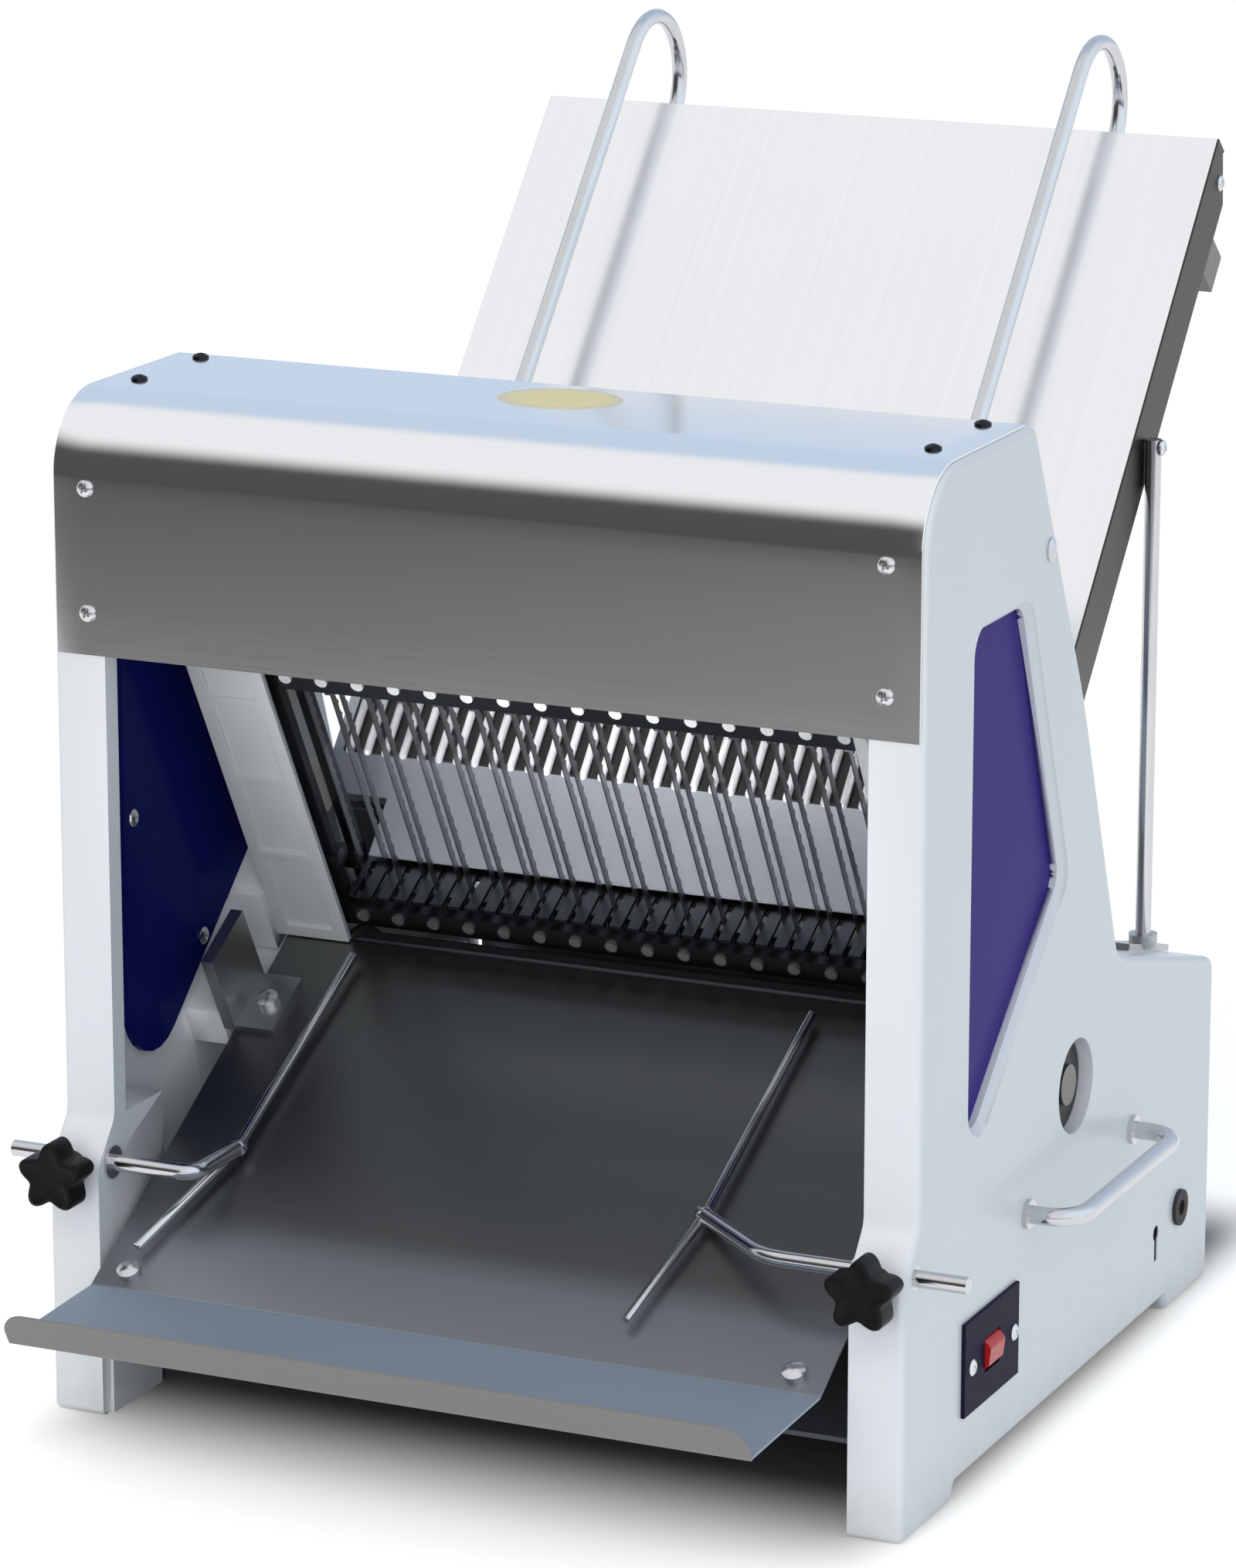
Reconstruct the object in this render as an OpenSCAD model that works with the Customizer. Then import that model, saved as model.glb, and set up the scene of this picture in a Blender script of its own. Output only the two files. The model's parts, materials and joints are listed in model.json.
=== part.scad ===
// Countertop bread slicer. A loaf slides down the rear chute through two gangs of
// upright blades that saw against each other, and the slices rest on the front tray.
// Y is zero at the front of the legs while the pieces are drawn, and Z is zero on the
// floor. The finished part is moved so that its origin lies under the middle of its box.

/* [Machine] */
// Width over the two side panels
machine_w = 548; // [530:1:600]
// Height of the side panels
panel_h = 612; // [600:1:640]
// Depth from the front of the legs to the back of the side panels
panel_depth = 498; // [490:1:530]

/* [Side panels] */
// Width of the rim and of the front leg
panel_t = 34; // [32:0.5:38]
// Thickness of the outer wall
wall_t = 9; // [7:0.5:11]
// Width of the stiffening rim
rim_w = 14; // [11:0.5:18]
// Radius of the outer edges
edge_r = 5; // [3:0.5:6]
// Depth of the flat top
top_depth = 165; // [155:1:175]
// Radius of the bend at the top of the leg
front_bend_r = 46; // [38:1:54]
// Depth of the slight bend in the slanted rear edge
waist_y = 256; // [250:1:262]
// Height of that bend
waist_h = 430; // [415:1:445]
// Depth from the front of the legs to the rear deck
deck_front_y = 322; // [316:1:330]
// Height of the rear deck at its front
deck_front_h = 257; // [250:1:264]
// Height of the rear deck at the back
deck_rear_h = 211; // [204:1:218]
// How far the foot stands out in front of the leg
foot_step = 21; // [17:1:25]
// Height where the foot starts to step out
step_top = 181; // [176:1:190]
// Height where the foot has its full depth
step_low = 155; // [148:1:158]
// Length of each foot on the floor
foot_len = 76; // [64:1:86]
// Height of the lower edge between the feet
foot_raise = 10; // [7:0.5:13]
// Width of the foot block
foot_t = 37; // [35:0.5:40]
// Height of the foot block
foot_block_h = 40; // [30:1:50]

/* [Window] */
// Depth of the window's front edge
window_front_y = 77; // [72:1:84]
// How far the window's top edge lies below the panel's top
window_top_drop = 105; // [92:1:117]
// Length of the window's top edge
window_top_len = 82; // [70:1:90]
// Depth of the window's rear corner
window_rear_y = 226; // [215:1:230]
// Height of the window's rear corner
window_rear_h = 330; // [320:1:345]
// Height of the window's lowest corner
window_low_h = 198; // [192:1:215]
// Thickness of the window sheet
window_t = 4; // [3:0.5:5]
// How far the window sheet laps over its opening
window_lap = 20; // [16:1:22]

/* [Cover] */
// Thickness of the sheet steel
sheet_t = 1.5; // [1:0.1:2]
// Height of the cover's front apron
cover_fall = 150; // [137:1:162]
// How far the cover stops short of the panels' outer faces
cover_inset = 3; // [1:0.5:6]
// Distance of the cover's screws from the outer faces
cover_screw_inset = 24; // [20:1:27]

/* [Blades] */
// Number of blades in the two gangs
blade_count = 31; // [15:2:31]
// Distance between neighbouring blades
blade_pitch = 12; // [11:0.25:12]
// Lean of the blades from upright, and slope of the tray
blade_lean = 30; // [28:0.5:32]
// Depth of the line where the tray's plane meets the blades
cut_y = 235; // [232:1:238]
// Height of that line
cut_h = 253; // [250:1:256]
// Width of a blade's ends
blade_w = 11; // [9:0.5:12]
// Width of a blade between its ends
blade_mid_w = 6; // [5:0.5:8]
// Thickness of a blade
blade_t = 0.8; // [0.6:0.1:1]
// Distance between the planes of the two gangs
gang_gap = 8; // [7:0.5:9]
// Length of a tooth scallop
tooth_pitch = 10; // [8:0.5:14]
// Depth of a tooth scallop
tooth_depth = 1.6; // [1:0.1:2]
// Throw of the eccentrics, half the stroke of a gang
throw = 9; // [7:0.5:9]

/* [Drive] */
// Depth of the main shaft
shaft_y = 249.5; // [247:0.5:251]
// Height of the main shaft
shaft_h = 196; // [194:0.5:197]
// Diameter of the main shaft
shaft_d = 25; // [20:1:28]
// Diameter of the driven pulley
driven_d = 84; // [76:1:86]
// Diameter of the motor pulley
motor_pulley_d = 42; // [36:1:50]
// Diameter of the motor casing
motor_d = 124; // [110:1:130]
// Length of the motor casing
motor_len = 190; // [160:1:210]

/* [Feed chute] */
// Slope of the chute
chute_slope = 48.7; // [47:0.1:50]
// Length of the chute's plate
chute_len = 559; // [540:1:580]
// Width of the chute's plate
chute_w = 462; // [450:1:466]
// Depth of the chute's side flanges
flange_d = 36; // [30:1:40]
// Diameter of the loaf guide rods
guide_d = 10; // [8:0.5:11]
// Height of the loaf guides above the plate
guide_gap = 36; // [30:1:40]
// Radius of the loaf guides' hooks
hook_r = 42; // [38:1:46]
// Distance of the left loaf guide from the middle
left_loaf_x = 165; // [140:1:195]
// Distance of the right loaf guide from the middle
right_loaf_x = 143; // [120:1:195]

/* [Tray] */
// Width of the delivery tray
tray_w = 466; // [455:1:470]
// Depth of the crease where the slope meets the flat apron
crease_y = -45; // [-50:1:-40]
// Length of the flat apron in front of the crease
apron_len = 97; // [85:1:105]
// Height of the upturned lip
lip_h = 20; // [15:1:25]
// How far the lip leans out
lip_out = 11.5; // [8:0.5:15]
// Radius of the lip's corners
lip_r = 16; // [10:1:18]

/* [Tray guides] */
// Diameter of the clamped rod
arm_d = 10; // [8:0.5:11]
// Diameter of the guide wire
wire_d = 6; // [5:0.5:7]
// Diameter of the star knob
knob_d = 43; // [38:1:46]
// Distance of the left wire from the middle
left_wire_x = 184; // [165:1:190]
// Distance of the right wire from the middle
right_wire_x = 121; // [100:1:150]

/* [Handles and switch] */
// Diameter of the handle tube
handle_d = 11; // [9:0.5:13]
// Distance between the handle's legs
handle_len = 180; // [160:1:190]
// How far the middle of the handle's grip stands out
handle_out = 31; // [26:1:40]
// Length of the switch plate
switch_len = 87; // [80:1:92]
// Height of the switch plate
switch_h = 57; // [50:1:60]

/* [Hidden] */
$fn = 48;

// Overrun of every cut
over = 1;
// Clearance between sliding flat faces
slide_fit = 0.3;
// Running clearance on a radius
run_fit = 0.05;
// Clearance round pieces that are dropped in place
loose_fit = 0.5;
// Segments in each rounded corner of an outline
arc_steps = 8;
// Segments in each rounded edge
edge_steps = 4;

half_w = machine_w / 2;
inner_x = half_w - panel_t;
wall_x = half_w - wall_t;

// Places in the slanted frame of the blades: p runs back along the tray's slope and q
// runs up along the blades
function to_p(y, z) = (y - cut_y) * cos(blade_lean) + (z - cut_h) * sin(blade_lean);
function to_q(y, z) = (z - cut_h) * cos(blade_lean) - (y - cut_y) * sin(blade_lean);
function to_y(p, q) = cut_y + p * cos(blade_lean) - q * sin(blade_lean);
function to_z(p, q) = cut_h + p * sin(blade_lean) + q * cos(blade_lean);

// Sizes of the side panels
corner_r = 4;
deck_r = 22;
waist_r = 500;
top_rear_r = 12;
step_r = 14;
leg_block_y = 60;
boss_r = 48;
bearing_hole_d = 58;
window_r = 14;
window_bevel = 5;
window_top_h = panel_h - window_top_drop;
rail_band = [-32, 34];
rail_top_gap = 64.5;
rail_top_q = (panel_h - cut_h - rail_top_gap) / cos(blade_lean);
knob_hole_d = 8;
key_y = 399;
key_z = 58;
key_d = 10;
key_slot_w = 5;
key_len = 18;

// Sizes of the screws
screw_d = 10;
screw_h = 3;
bolt_d = 14;
bolt_h = 6;
cover_screw_y = [66, 142];
apron_h = panel_h - cover_fall;
cover_screw_rise = [25, 99];
cover_screw_z = [for (rise = cover_screw_rise) apron_h + rise];
window_screw_d = 11;

// Sizes of the two gang frames
beam_t = 7;
beam_h = 26;
low_beam_h = 16;
upper_beam_q = 196;
lower_beam_q = -2;
stud_d = 6;
stud_head_d = 8;
stud_head_t = 2.5;
tip_ease = 0.2;
upper_stud_q = 207;
lower_stud_q = 8;
post_t = 8;
post_x = 188;
post_gap = 2.5;
blade_tip = 5;
beam_back = gang_gap / 2 + blade_w / 2 + slide_fit;
post_centre = beam_back + beam_t / 2;
block_h = 32;
block_q = [92, 182];
track_w = 4;
track_deep = 9;
track_gap = 20;
track_q = [76, 236];
rail_web_t = 6;
rail_front_p = -27.5;
rail_plate_t = 4;
rail_w = 50;
rail_low_q = 1;
rung_pitch = 64;
rung_t = 6;
rail_rim = 9;
rail_pocket = 2.5;

// Sizes of the drive
shaft_p = to_p(shaft_y, shaft_h);
shaft_q = to_q(shaft_y, shaft_h);
rod_t = 7;
rod_w = 10;
rod_pin_q = 50;
rod_pin_d = 10;
rod_eye_d = 18;
rod_gap = 0.5;
flange_gap = 5;
flange_t = 3.5;
strap_bore_r = 30;
strap_r = 38;
eccentric_r = 36;
front_rod_x = post_x + post_t + flange_t + 2 * rod_gap + rod_gap;
rear_rod_x = front_rod_x + rod_t + flange_gap + 2 * rod_gap;
rod_pin_p = 10;
bearing_flange_d = 88;
bearing_flange_t = 8;
bearing_bolt_r = 36;
bearing_bolt_h = 4;
driven_x = 158;
pulley_w = 18;
groove_d = 6;
belt_t = 8;
belt_w = 10;
motor_y = 395;
motor_shaft_d = 16;
motor_fins = 18;
motor_fin_t = 3;
motor_fin_h = 5;
motor_bell = 26;
motor_foot_w = 110;
base_t = 3;
base_z = 24;
motor_lift = 8;
motor_z = base_z + base_t + motor_d / 2 + motor_fin_h + motor_lift;

// Sizes of the chute, its stays and loaf guides
chute_foot_p = 12.4;
chute_foot_q = 39;
chute_foot_y = to_y(chute_foot_p, chute_foot_q);
chute_foot_z = to_z(chute_foot_p, chute_foot_q);
chute_neck_len = 40;
chute_neck_w = 368;
chute_hem = 14;
flange_from = 60;
flange_clip = 26;
stay_s = 346;
stay_drop = 20;
stay_d = 10;
stay_x = chute_w / 2 + stay_d / 2 + slide_fit;
bracket_len = 76;
bracket_w = 26;
bracket_t = 4;
bar_d = 12;
bar_from_top = 62;
bar_s = chute_len - bar_from_top;
bar_drop = guide_gap - 2 * hook_r;
clamp_size = [26, 34, 30];
guide_from = 150;
hook_over = 20;
thumb_d = 20;
thumb_t = 7;
bar_block = [10, 26];

// Sizes of the combs
finger_d = 5;
finger_p = [14, 58];
finger_foot_q = 128;
finger_socket = 6;
shelf_p = 16;
comb_bar = [12, 16];
comb_bar_p = 66;
comb_t = 2.5;
comb_front_p = -18;
comb_slot_w = 4;
comb_slot_p = 12;
comb_boss_r = 8;

// Sizes of the tray and its guides
tray_top_p = -24;
crease_z = cut_h - (cut_y - crease_y) * tan(blade_lean);
lip_front_y = crease_y - apron_len - lip_out;
tray_drop = 3;
tray_bolt_s = [13, 236];
tray_bolt_x = 213;
bracket_h = 58;
bracket_pad = 14;
bracket_d = 46;
bracket_foot = 26;
tray_bracket_t = 8;
arm_y = -5;
arm_out = 32;
arm_bend_x = [185, 182];
arm_bend_r = 16;
wire_lift = 8;
wire_from = 27;
wire_bend_s = 113;
wire_to = 279;
wire_skew = [-28, -16];
wire_x = [-left_wire_x, right_wire_x];
arm_z = crease_z + wire_bend_s * sin(blade_lean) + wire_lift * cos(blade_lean);
bush_d = 14;
bush_lip = 20;
bush_lip_t = 2;
knob_t = 20;
knob_neck = 10;
knob_neck_d = 20;
knob_lobes = 5;
knob_dip = 7;
knob_stud_d = 7.6;

// Sizes of the handles, the switch and the inlet
handle_y = 170;
handle_z = 140;
handle_bend = 20;
handle_pad_d = 18;
handle_pad_t = 3;
switch_y = 67;
switch_z = 47;
switch_plate_t = 2.5;
rocker_len = 23;
rocker_h = 20;
rocker_out = 5;
rocker_deep = 6;
switch_box = [34, 30, 24];
grommet_y = 440;
grommet_z = 63;
grommet_d = 18;
grommet_bore = 10;
grommet_lip = 2.5;
tie_d = 18;
rear_low_z = 14;
cover_meet_s = 90;
chute_tie_s = 45;
chute_tie = [chute_foot_y + chute_tie_s * cos(chute_slope) + (tie_d / 2 + sheet_t) * sin(chute_slope),
    chute_foot_z + chute_tie_s * sin(chute_slope) - (tie_d / 2 + sheet_t) * cos(chute_slope)];
tie_top_drop = 78;
tie_places = [[191, panel_h - tie_top_drop], [170, 62], [470, 150], chute_tie];
rear_gap = 3;
comb_q = to_q(chute_tie[0], chute_tie[1]) - tie_d / 2;
comb_rear_p = to_p(chute_tie[0], chute_tie[1]);

// Middle of the part's box along Y
hook_rear_y = chute_foot_y + (chute_len + hook_over) * cos(chute_slope)
    - (guide_gap - hook_r) * sin(chute_slope) + hook_r + guide_d / 2;
centre_y = (lip_front_y + hook_rear_y) / 2;

// An outline of [y, z, radius] corners, its corners drawn as arcs
function unit(v) = v / norm(v);
function arc_corner(a, b, c, r) =
    let (u = unit(a - b), w = unit(c - b), half = acos(u * w) / 2)
    let (mid = b + unit(u + w) * r / sin(half))
    let (s = b + u * r / tan(half) - mid, f = b + w * r / tan(half) - mid)
    let (from = atan2(s[1], s[0]), turn = atan2(f[1], f[0]) - from)
    let (sweep = turn > 180 ? turn - 360 : turn < -180 ? turn + 360 : turn)
    [for (i = [0:arc_steps]) mid + r * [cos(from + sweep * i / arc_steps),
        sin(from + sweep * i / arc_steps)]];
function flat(v) = [v[0], v[1]];
function rounded(pts) = let (n = len(pts)) [for (i = [0:n - 1])
    each (pts[i][2] > 0
        ? arc_corner(flat(pts[(i + n - 1) % n]), flat(pts[i]), flat(pts[(i + 1) % n]), pts[i][2])
        : [flat(pts[i])])];

// The same outline drawn in by d, with each corner's radius following
function left_of(a, b) = let (e = unit(b - a)) [-e[1], e[0]];
function drawn_in(pts, d) = let (n = len(pts)) [for (i = [0:n - 1])
    let (a = flat(pts[(i + n - 1) % n]), b = flat(pts[i]), c = flat(pts[(i + 1) % n]))
    let (m = left_of(a, b), k = left_of(b, c), bulge = cross(b - a, c - b) > 0 ? -1 : 1)
    let (v = b + (m + k) * d / (1 + m * k))
    [v[0], v[1], max(pts[i][2] + bulge * d, corner_r / 2)]];

panel_corners = [[-foot_step, 0, corner_r], [foot_len - foot_step, 0, corner_r],
    [foot_len - foot_step + foot_raise / 2, foot_raise, corner_r],
    [panel_depth - foot_len - foot_raise / 2, foot_raise, corner_r],
    [panel_depth - foot_len, 0, corner_r], [panel_depth, 0, corner_r],
    [panel_depth, deck_rear_h, corner_r + edge_r], [deck_front_y, deck_front_h, deck_r],
    [waist_y, waist_h, waist_r], [top_depth, panel_h, top_rear_r],
    [0, panel_h, front_bend_r], [0, step_top, step_r], [-foot_step, step_low, step_r]];

window_corners = [[window_front_y, window_low_h, window_r],
    [window_rear_y, window_rear_h, window_r],
    [window_front_y + window_top_len, window_top_h, window_r],
    [window_front_y, window_top_h, window_r]];
window_plate = drawn_in(window_corners, -window_lap);

module both_sides() {
    children();
    mirror([1, 0, 0]) children();
}

// Places the slanted frame of the blades
module at_blades() {
    translate([0, cut_y, cut_h]) rotate([blade_lean, 0, 0]) children();
}

// Places the chute: its own Y runs up the plate and its Z stands off it
module at_chute() {
    translate([0, chute_foot_y, chute_foot_z]) rotate([chute_slope, 0, 0]) children();
}

// Places the tray's slope: its own Y runs up the slope from the crease
module at_slope() {
    translate([0, crease_y, crease_z]) rotate([blade_lean, 0, 0]) children();
}

// Extrudes an outline drawn in [y, z] from one X to another
module extrude_x(from, to) {
    translate([from, 0, 0]) rotate([90, 0, 90]) linear_extrude(to - from) children();
}

// A bar with square corners between two corner points
module bar(low, high) {
    translate(low) cube(high - low);
}

// A round bar along X
module rod_x(from, to, d) {
    translate([from, 0, 0]) rotate([0, 90, 0]) cylinder(h = to - from, d = d);
}

// A round bar from one point to another
module rod_between(a, b, d) {
    v = b - a;
    translate(a) rotate([0, acos(v[2] / norm(v)), atan2(v[1], v[0])]) cylinder(h = norm(v), d = d);
}

// A pan-head screw on a face, its head standing up along Z
module pan_screw(d, h) {
    intersection() {
        cylinder(h = h, d = d);
        translate([0, 0, h - d]) sphere(d = 2 * d);
    }
}

// An outline cut into triangles, one ear at a time
function bend(p, a, b, c) = cross(p[b] - p[a], p[c] - p[b]);
function covers(p, a, b, c, v) = v != a && v != b && v != c
    && min(bend(p, a, b, v), bend(p, b, c, v), bend(p, c, a, v)) >= 0;
function is_ear(p, a, b, c, left) = bend(p, a, b, c) > 0
    && len([for (v = left) if (covers(p, a, b, c, v)) v]) == 0;
function ear(left, k) = let (n = len(left)) [left[(k + n - 1) % n], left[k], left[(k + 1) % n]];
function first_ear(p, left, k = 0) = let (e = ear(left, k))
    is_ear(p, e[0], e[1], e[2], left) ? k : first_ear(p, left, k + 1);
function ears(p, left) = len(left) < 4 ? [left] : let (k = first_ear(p, left))
    concat([ear(left, k)], ears(p, [for (i = [0:len(left) - 1]) if (i != k) left[i]]));

// A solid lofted through rings of one outline. A ring is [x, how far it is drawn in]
module lofted(corners, rings) {
    n = len(rounded(corners));
    top = n * (len(rings) - 1);
    low_ears = ears(rounded(drawn_in(corners, rings[0][1])), [for (i = [0:n - 1]) i]);
    top_ears = ears(rounded(drawn_in(corners, rings[len(rings) - 1][1])), [for (i = [0:n - 1]) i]);
    points = [for (ring = rings) each [for (v = rounded(drawn_in(corners, ring[1])))
        [ring[0], v[0], v[1]]]];
    sides = [for (k = [0:len(rings) - 2], i = [0:n - 1])
        [k * n + i, (k + 1) * n + i, (k + 1) * n + (i + 1) % n, k * n + (i + 1) % n]];
    caps = concat(low_ears, [for (e = top_ears) [top + e[2], top + e[1], top + e[0]]]);
    polyhedron(points, concat(sides, caps), convexity = 6);
}

// A plate whose far edge is rounded
module soft_plate(corners, from, to, r) {
    lofted(corners, concat([[from, 0]], [for (i = [0:edge_steps])
        let (a = 90 * i / edge_steps) [to - r + r * sin(a), r - r * cos(a)]]));
}

module panel_pocket() {
    difference() {
        extrude_x(inner_x - over, wall_x) polygon(rounded(drawn_in(panel_corners, rim_w)));
        bar([inner_x - over, -foot_step, 0], [wall_x + over, leg_block_y, step_top]);
        translate([inner_x - over, shaft_y, shaft_h]) rod_x(0, panel_t, 2 * boss_r);
        at_blades() bar([inner_x - over, rail_band[0], rail_low_q - rail_rim],
            [wall_x + over, rail_band[1], rail_top_q]);
        for (place = tie_places)
            translate([inner_x - over, place[0], place[1]]) rod_x(0, panel_t, 2 * tie_d);
        at_blades() translate([inner_x - over, comb_bar_p + comb_bar[0] / 2, comb_bar_q])
            rod_x(0, panel_t, 2 * comb_boss_r);
        at_slope() bar([inner_x - over, tray_bolt_s[1] - bracket_d / 2, -bracket_pad],
            [wall_x + over, tray_bolt_s[1] + bracket_d / 2, bracket_pad]);
    }
}

module key_hole() {
    translate([wall_x - over, key_y, key_z]) rod_x(0, wall_t + 2 * over, key_d);
    bar([wall_x - over, key_y - key_slot_w / 2, key_z - key_len],
        [half_w + over, key_y + key_slot_w / 2, key_z]);
}

module side_panel() {
    difference() {
        union() {
            soft_plate(panel_corners, inner_x, half_w, edge_r);
            for (y = [-foot_step, panel_depth - foot_len])
                bar([half_w - foot_t, y + 2 * corner_r, 0],
                    [half_w - panel_t + over, y + foot_len - 2 * corner_r, foot_block_h]);
        }
        panel_pocket();
        lofted(window_corners, [[wall_x - over, 0], [half_w - window_bevel, 0],
            [half_w + over, -window_bevel - over]]);
        extrude_x(inner_x - over, wall_x) polygon(rounded(drawn_in(window_plate, -loose_fit)));
        translate([wall_x - panel_t, shaft_y, shaft_h])
            rod_x(0, 2 * panel_t, bearing_hole_d);
        translate([inner_x - over, arm_y, arm_z]) rod_x(0, 2 * panel_t, bush_d + 2 * run_fit);
        translate([half_w - panel_t / 2, -foot_step - over, arm_z]) rotate([-90, 0, 0])
            cylinder(h = foot_step + over + arm_y, d = knob_hole_d);
    }
}

module panel_cuts_right() {
    key_hole();
    translate([inner_x, grommet_y, grommet_z]) rod_x(0, panel_t + over, grommet_d);
    translate([0, switch_y + switch_len / 2, switch_z + switch_h / 2])
        bar([wall_x - over, -switch_box[0] / 2 - loose_fit, -switch_box[2] / 2 - loose_fit],
            [half_w + over, switch_box[0] / 2 + loose_fit, switch_box[2] / 2 + loose_fit]);
}

module left_side_panel() {
    color("white") mirror([1, 0, 0]) side_panel();
}

module right_side_panel() {
    color("white") difference() {
        side_panel();
        panel_cuts_right();
    }
}

// The cover is one bent sheet over the top and front of the two panels
cover_path = [[-sheet_t, apron_h, 0], [0, apron_h, 0], [0, panel_h, front_bend_r],
    [top_depth - top_rear_r, panel_h, 0], [top_depth - top_rear_r, panel_h + sheet_t, 0],
    [-sheet_t, panel_h + sheet_t, front_bend_r + sheet_t]];

module top_cover() {
    color("silver") difference() {
        extrude_x(-half_w + cover_inset, half_w - cover_inset) polygon(rounded(cover_path));
        cover_screw_places() translate([0, 0, -bolt_h]) cylinder(h = 2 * bolt_h, d = screw_d / 2);
    }
}

module cover_screw_places() {
    both_sides() {
        for (y = cover_screw_y)
            translate([half_w - cover_screw_inset, y, panel_h + sheet_t]) children();
        for (z = cover_screw_z)
            translate([half_w - cover_screw_inset, -sheet_t, z]) rotate([90, 0, 0]) children();
    }
}

module cover_screws() {
    color("gainsboro") {
        cover_screw_places() pan_screw(screw_d, screw_h);
        both_sides() at_chute() for (s = [stay_s, chute_len - stay_drop])
            translate([chute_w / 2, s, -stay_drop]) rotate([0, 90, 0])
                if (s == stay_s) translate([0, 0, stay_d + 2 * slide_fit]) pan_screw(screw_d, screw_h);
                else pan_screw(screw_d, screw_h);
    }
}

module window_sheet() {
    extrude_x(wall_x - window_t, wall_x) polygon(rounded(window_plate));
}

module left_window() {
    color("midnightblue") mirror([1, 0, 0]) window_sheet();
}

module right_window() {
    color("midnightblue") window_sheet();
}

screw_line = [for (c = drawn_in(window_corners, -window_lap / 2)) flat(c)];
window_screw_places = [for (i = [0:3]) (screw_line[i] + screw_line[(i + 1) % 4]) / 2];

module window_screws() {
    color("gainsboro") both_sides() for (v = window_screw_places)
        translate([wall_x - window_t, v[0], v[1]]) rotate([0, -90, 0]) pan_screw(window_screw_d, screw_h);
}

// The tray is one folded sheet: slope, flat apron and upturned lip
tray_top = [to_y(tray_top_p, 0), to_z(tray_top_p, 0)];
tray_edge = [[tray_top[0], tray_top[1]], [crease_y, crease_z],
    [crease_y - apron_len, crease_z - tray_drop]];
lip_lean = atan2(lip_out, lip_h);
lip_len = norm([lip_out, lip_h]);

module delivery_tray() {
    color("dimgray") {
        extrude_x(-tray_w / 2, tray_w / 2) polygon(concat(tray_edge,
            [for (i = [2:-1:0]) tray_edge[i] - [0, sheet_t]]));
        translate([0, crease_y - apron_len + sheet_t, crease_z - tray_drop - sheet_t])
            rotate([90 + lip_lean, 0, 0]) linear_extrude(sheet_t) polygon(rounded([
                [-tray_w / 2, 0, 0], [tray_w / 2, 0, 0],
                [tray_w / 2, lip_len + sheet_t, lip_r], [-tray_w / 2, lip_len + sheet_t, lip_r]]));
    }
}

module tray_brackets() {
    color("gainsboro") both_sides() at_slope()
        translate([inner_x - tray_bracket_t, tray_bolt_s[1] - bracket_d / 2, 0]) {
            cube([tray_bracket_t, bracket_d, bracket_h]);
            translate([-bracket_foot, 0, 0]) cube([bracket_foot + over, bracket_d, tray_bracket_t / 2]);
        }
}

module tray_bolts() {
    color("gainsboro") both_sides() at_slope() {
        translate([tray_bolt_x, tray_bolt_s[0], 0]) pan_screw(bolt_d, bolt_h);
        translate([inner_x - tray_bracket_t - bracket_foot / 2, tray_bolt_s[1], tray_bracket_t / 2])
            pan_screw(bolt_d, bolt_h);
    }
}

// The chute is a sheet with its sides folded down and a hem along its top
module feed_chute() {
    color("whitesmoke") at_chute() {
        bar([-chute_neck_w / 2, 0, -sheet_t], [chute_neck_w / 2, chute_neck_len + over, 0]);
        bar([-chute_w / 2, chute_neck_len, -sheet_t], [chute_w / 2, chute_len, 0]);
        bar([-chute_w / 2, chute_len - sheet_t, -chute_hem], [chute_w / 2, chute_len, 0]);
        both_sides() extrude_x(chute_w / 2 - sheet_t, chute_w / 2) polygon([[flange_from, 0],
            [flange_from + flange_d, -flange_d], [chute_len - flange_clip, -flange_d],
            [chute_len, -flange_d + flange_clip], [chute_len, 0]]);
    }
}

stay_y = chute_foot_y + stay_s * cos(chute_slope) + stay_drop * sin(chute_slope);
stay_top = chute_foot_z + stay_s * sin(chute_slope) - stay_drop * cos(chute_slope);
deck_fall = (deck_front_h - deck_rear_h) / (panel_depth - deck_front_y);
function deck_z(y) = deck_front_h - (y - deck_front_y) * deck_fall;

module chute_stays() {
    color("silver") both_sides() {
        translate([stay_x, stay_y, deck_z(stay_y) + bracket_t]) difference() {
            cylinder(h = stay_top - deck_z(stay_y) - bracket_t + stay_d / 2, d = stay_d);
            translate([0, 0, stay_top - deck_z(stay_y) - bracket_t]) rotate([0, 90, 0])
                cylinder(h = 2 * stay_d, d = stay_d / 2, center = true);
        }
    }
}

module stay_brackets() {
    color("silver") both_sides() translate([stay_x, stay_y, deck_z(stay_y)])
        rotate([-atan(deck_fall), 0, 0]) difference() {
            union() {
                bar([-bracket_w / 2 - bracket_t, -bracket_len / 2, 0],
                    [bracket_t, bracket_len / 2, bracket_t]);
                rotate([atan(deck_fall), 0, 0]) translate([0, 0, bracket_t - over])
                    cylinder(h = 2 * bracket_t, d = stay_d + 2 * bracket_t);
            }
            rotate([atan(deck_fall), 0, 0]) translate([0, 0, bracket_t])
                cylinder(h = 3 * bracket_t, d = stay_d + 2 * run_fit);
        }
}

// The bar that carries the loaf guides, behind the top of the chute
module guide_bar() {
    color("silver") at_chute() {
        translate([0, bar_s, bar_drop]) rod_x(-chute_w / 2 + sheet_t, chute_w / 2 - sheet_t, bar_d);
        both_sides() difference() {
            bar([chute_w / 2 - sheet_t - bar_block[0], bar_s - bar_block[1] / 2,
                    bar_drop - bar_block[1] / 2],
                [chute_w / 2 - sheet_t, bar_s + bar_block[1] / 2, -sheet_t]);
            translate([0, bar_s, bar_drop]) rod_x(0, chute_w / 2, bar_d);
        }
    }
}

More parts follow.
